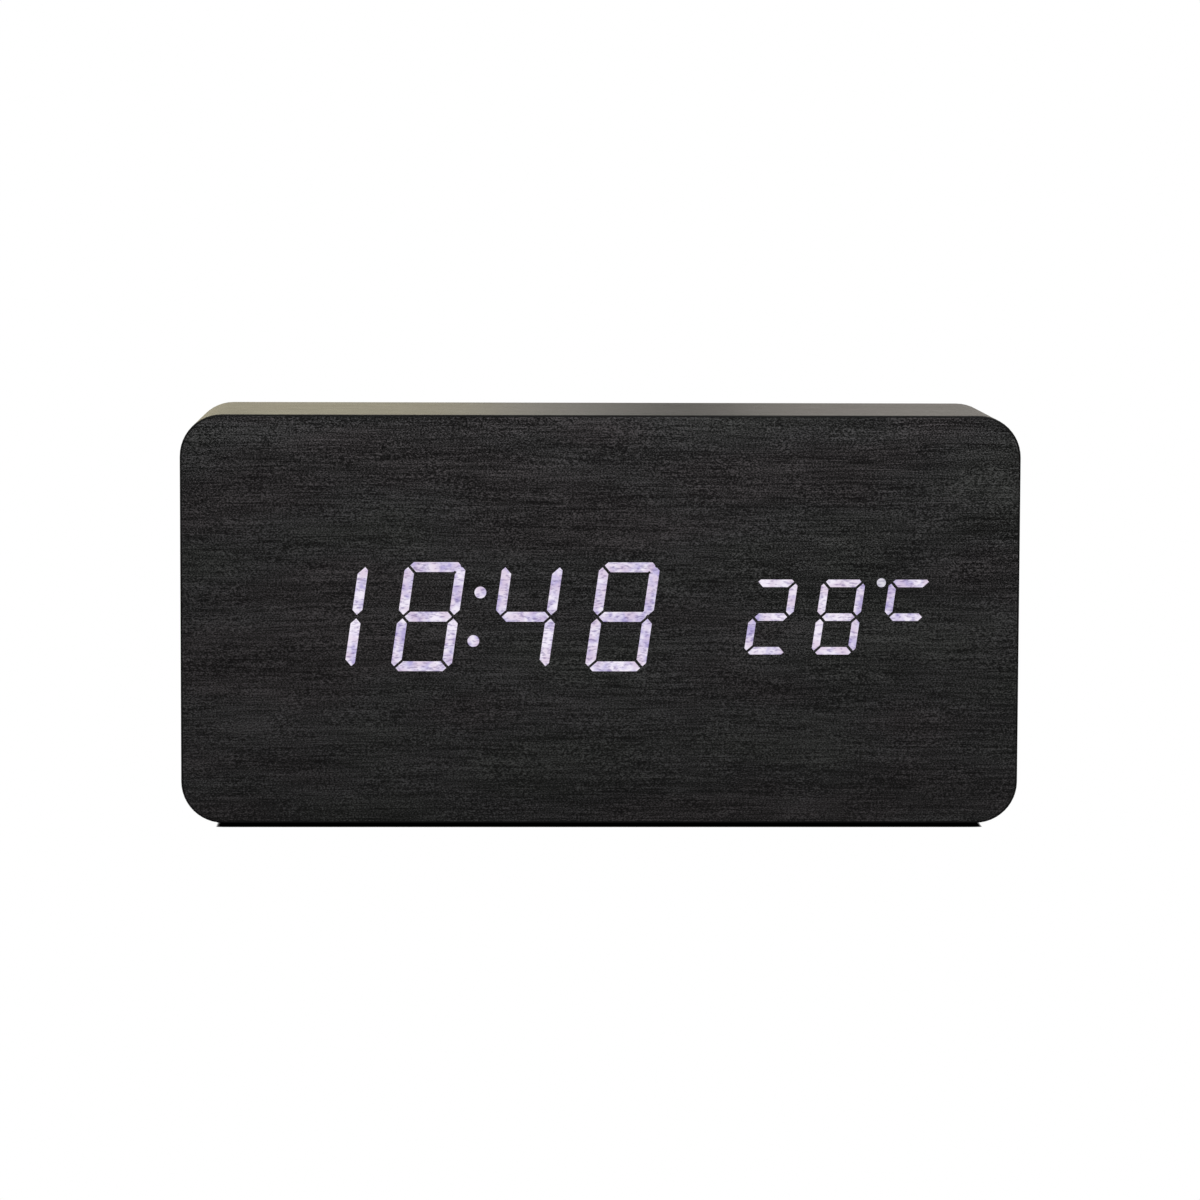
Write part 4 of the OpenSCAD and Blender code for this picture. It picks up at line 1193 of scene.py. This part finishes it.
@dataclass
class Studio:
    """White floor, soft light and the camera.

    Attributes:
        camera_mm, yaw, pitch, roll: the camera's place, and its turn in radians.
        lens_mm, sensor_mm, clip: its focal length, sensor width and nearest view in metres.
        floor_size, floor_grey: the floor's side in metres, and the grey that it throws back.
        shade_mm, shade_from, shade_rays: the contact shade's reach, its darkest value and its rays.
        ambient, mirror: strength of the room's plain light, and of the room as gloss mirrors it.
        wall, front: the mirrored wall from left to right, and the room in front of the block.
        depth: range, from front to back, over which the front gives way to the wall.
        lamps: the soft lamps.
    """

    camera_mm: Point = (-21.48, -865.05, 119.22)
    yaw: float = 0.0253
    pitch: float = 0.0931
    roll: float = -0.0035
    lens_mm: float = 144.28
    sensor_mm: float = 36.0
    clip: float = 0.01
    floor_size: float = 1.2
    floor_grey: str = "585858"
    shade_mm: float = 0.82
    shade_from: float = 0.9
    shade_rays: int = 32
    ambient: float = 0.16
    mirror: float = 1.2
    # The wall is pale on the left and has a dark stretch a little right of the middle.
    wall: Sequence[tuple[float, str]] = (
        (0.0, "f6ecca"), (0.497, "f6ecca"), (0.504, "d0cac4"), (0.515, "a8a7a1"),
        (0.519, "141413"), (0.525, "141413"), (0.529, "c4bdb4"), (1.0, "b6ac9e"),
    )
    front: str = "4a4a4a"
    depth: Span = (-0.2, 0.9)
    lamps: Sequence[Softbox] = (
        Softbox("key_softbox", (0.03, -0.14, 0.28), (0.0, -0.02, 0.05), (0.36, 0.12), 1.5),
        Softbox("left_softbox", (-0.55, -0.05, 0.40), (0.0, 0.0, 0.04), (0.7, 0.6), 1.2),
        Softbox("right_softbox", (0.55, -0.05, 0.40), (0.0, 0.0, 0.04), (0.7, 0.6), 1.2),
        Softbox("back_softbox", (0.05, 0.42, 0.75), (0.0, 0.02, 0.04), (1.0, 0.6), 5.0),
    )

    def build(self) -> None:
        """Set up the camera, floor, lamps and world."""
        bpy.context.scene.view_settings.view_transform = "Standard"
        self.camera()
        self.floor()
        for lamp in self.lamps:
            lamp.hang()
        self.world()

    def camera(self) -> None:
        """Place the camera as the photograph was taken."""
        data = bpy.data.cameras.new("camera")
        data.lens, data.sensor_width, data.clip_start = self.lens_mm, self.sensor_mm, self.clip
        obj = bpy.data.objects.new("camera", data)
        bpy.context.scene.collection.objects.link(obj)
        view = Matrix.Translation(Vector(self.camera_mm) * MM)
        for angle, axis in ((-self.yaw, "Z"), (math.pi / 2 - self.pitch, "X"), (-self.roll, "Z")):
            view = view @ Matrix.Rotation(angle, 4, axis)
        obj.matrix_world = view
        bpy.context.scene.camera = obj

    def floor(self) -> None:
        """Lay a floor that is white where seen and mirrored, and keeps the block's contact shade."""
        bpy.ops.object.select_all(action="DESELECT")
        bpy.ops.mesh.primitive_plane_add(size=self.floor_size)
        obj = bpy.context.object
        obj.name = "floor"
        made = bpy.data.materials.new("white_floor")
        made.use_nodes = True
        tree = made.node_tree
        tree.nodes.remove(tree.nodes["Principled BSDF"])
        near = {"Distance": self.shade_mm * MM}
        shade = add(tree, "AmbientOcclusion", near, "AO", samples=self.shade_rays)
        shade = add(tree, "MapRange", {"Value": shade, "From Min": self.shade_from})
        seen = add(tree, "Emission", {"Color": shade, "Strength": 1.0})
        paper = add(tree, "BsdfDiffuse", {"Color": self.floor_grey})
        rays = add(tree, "LightPath").node.outputs
        direct = rays["Is Camera Ray"]
        for other in ("Is Glossy Ray", "Is Transmission Ray"):
            direct = add(tree, "Math", {0: direct, 1: rays[other]}, operation="MAXIMUM")
        mixed = add(tree, "MixShader", {0: direct, 1: paper, 2: seen})
        fill(tree, tree.nodes["Material Output"], {"Surface": mixed})
        obj.data.materials.append(made)

    def world(self) -> None:
        """Make the room: white where seen, plain soft light elsewhere, and walls that gloss mirrors."""
        room = bpy.data.worlds.new("studio")
        bpy.context.scene.world = room
        room.use_nodes = True
        tree = room.node_tree
        tree.nodes.remove(tree.nodes["Background"])
        way = add(tree, "SeparateXYZ", {0: add(tree, "TexCoord", out="Generated")}).node.outputs
        side = add(tree, "MapRange", {"Value": way["X"], "From Min": -1.0, "From Max": 1.0})
        wall = add(tree, "ValToRGB", {"Fac": side}, ramp=self.wall)
        first, last = self.depth
        depth = add(tree, "MapRange", {"Value": way["Y"], "From Min": first, "From Max": last})
        mirrored = add(tree, "Mix", {SHARE: depth, FIRST: self.front, SECOND: wall}, MIXED, data_type="RGBA")
        soft = add(tree, "Background", {"Color": "ffffff", "Strength": self.ambient})
        shiny = add(tree, "Background", {"Color": mirrored, "Strength": self.mirror})
        white = add(tree, "Background", {"Color": "ffffff", "Strength": 1.0})
        rays = add(tree, "LightPath").node.outputs
        clear = add(tree, "Math", {0: rays["Is Camera Ray"], 1: rays["Is Transmission Ray"]},
                    operation="MAXIMUM")
        mixed = add(tree, "MixShader", {0: rays["Is Glossy Ray"], 1: soft, 2: shiny})
        mixed = add(tree, "MixShader", {0: clear, 1: mixed, 2: white})
        fill(tree, tree.nodes["World Output"], {"Surface": mixed})


def main() -> None:
    """Build every sub-assembly, then the studio."""
    logging.basicConfig(level=logging.INFO, format="%(name)s: %(message)s")
    for group in (Block(), Display(), RearPanel(), BatteryBay(), Controls(), Wiring(), Studio()):
        LOG.info("building %s", type(group).__name__)
        group.build()


if __name__ == "__main__":
    main()
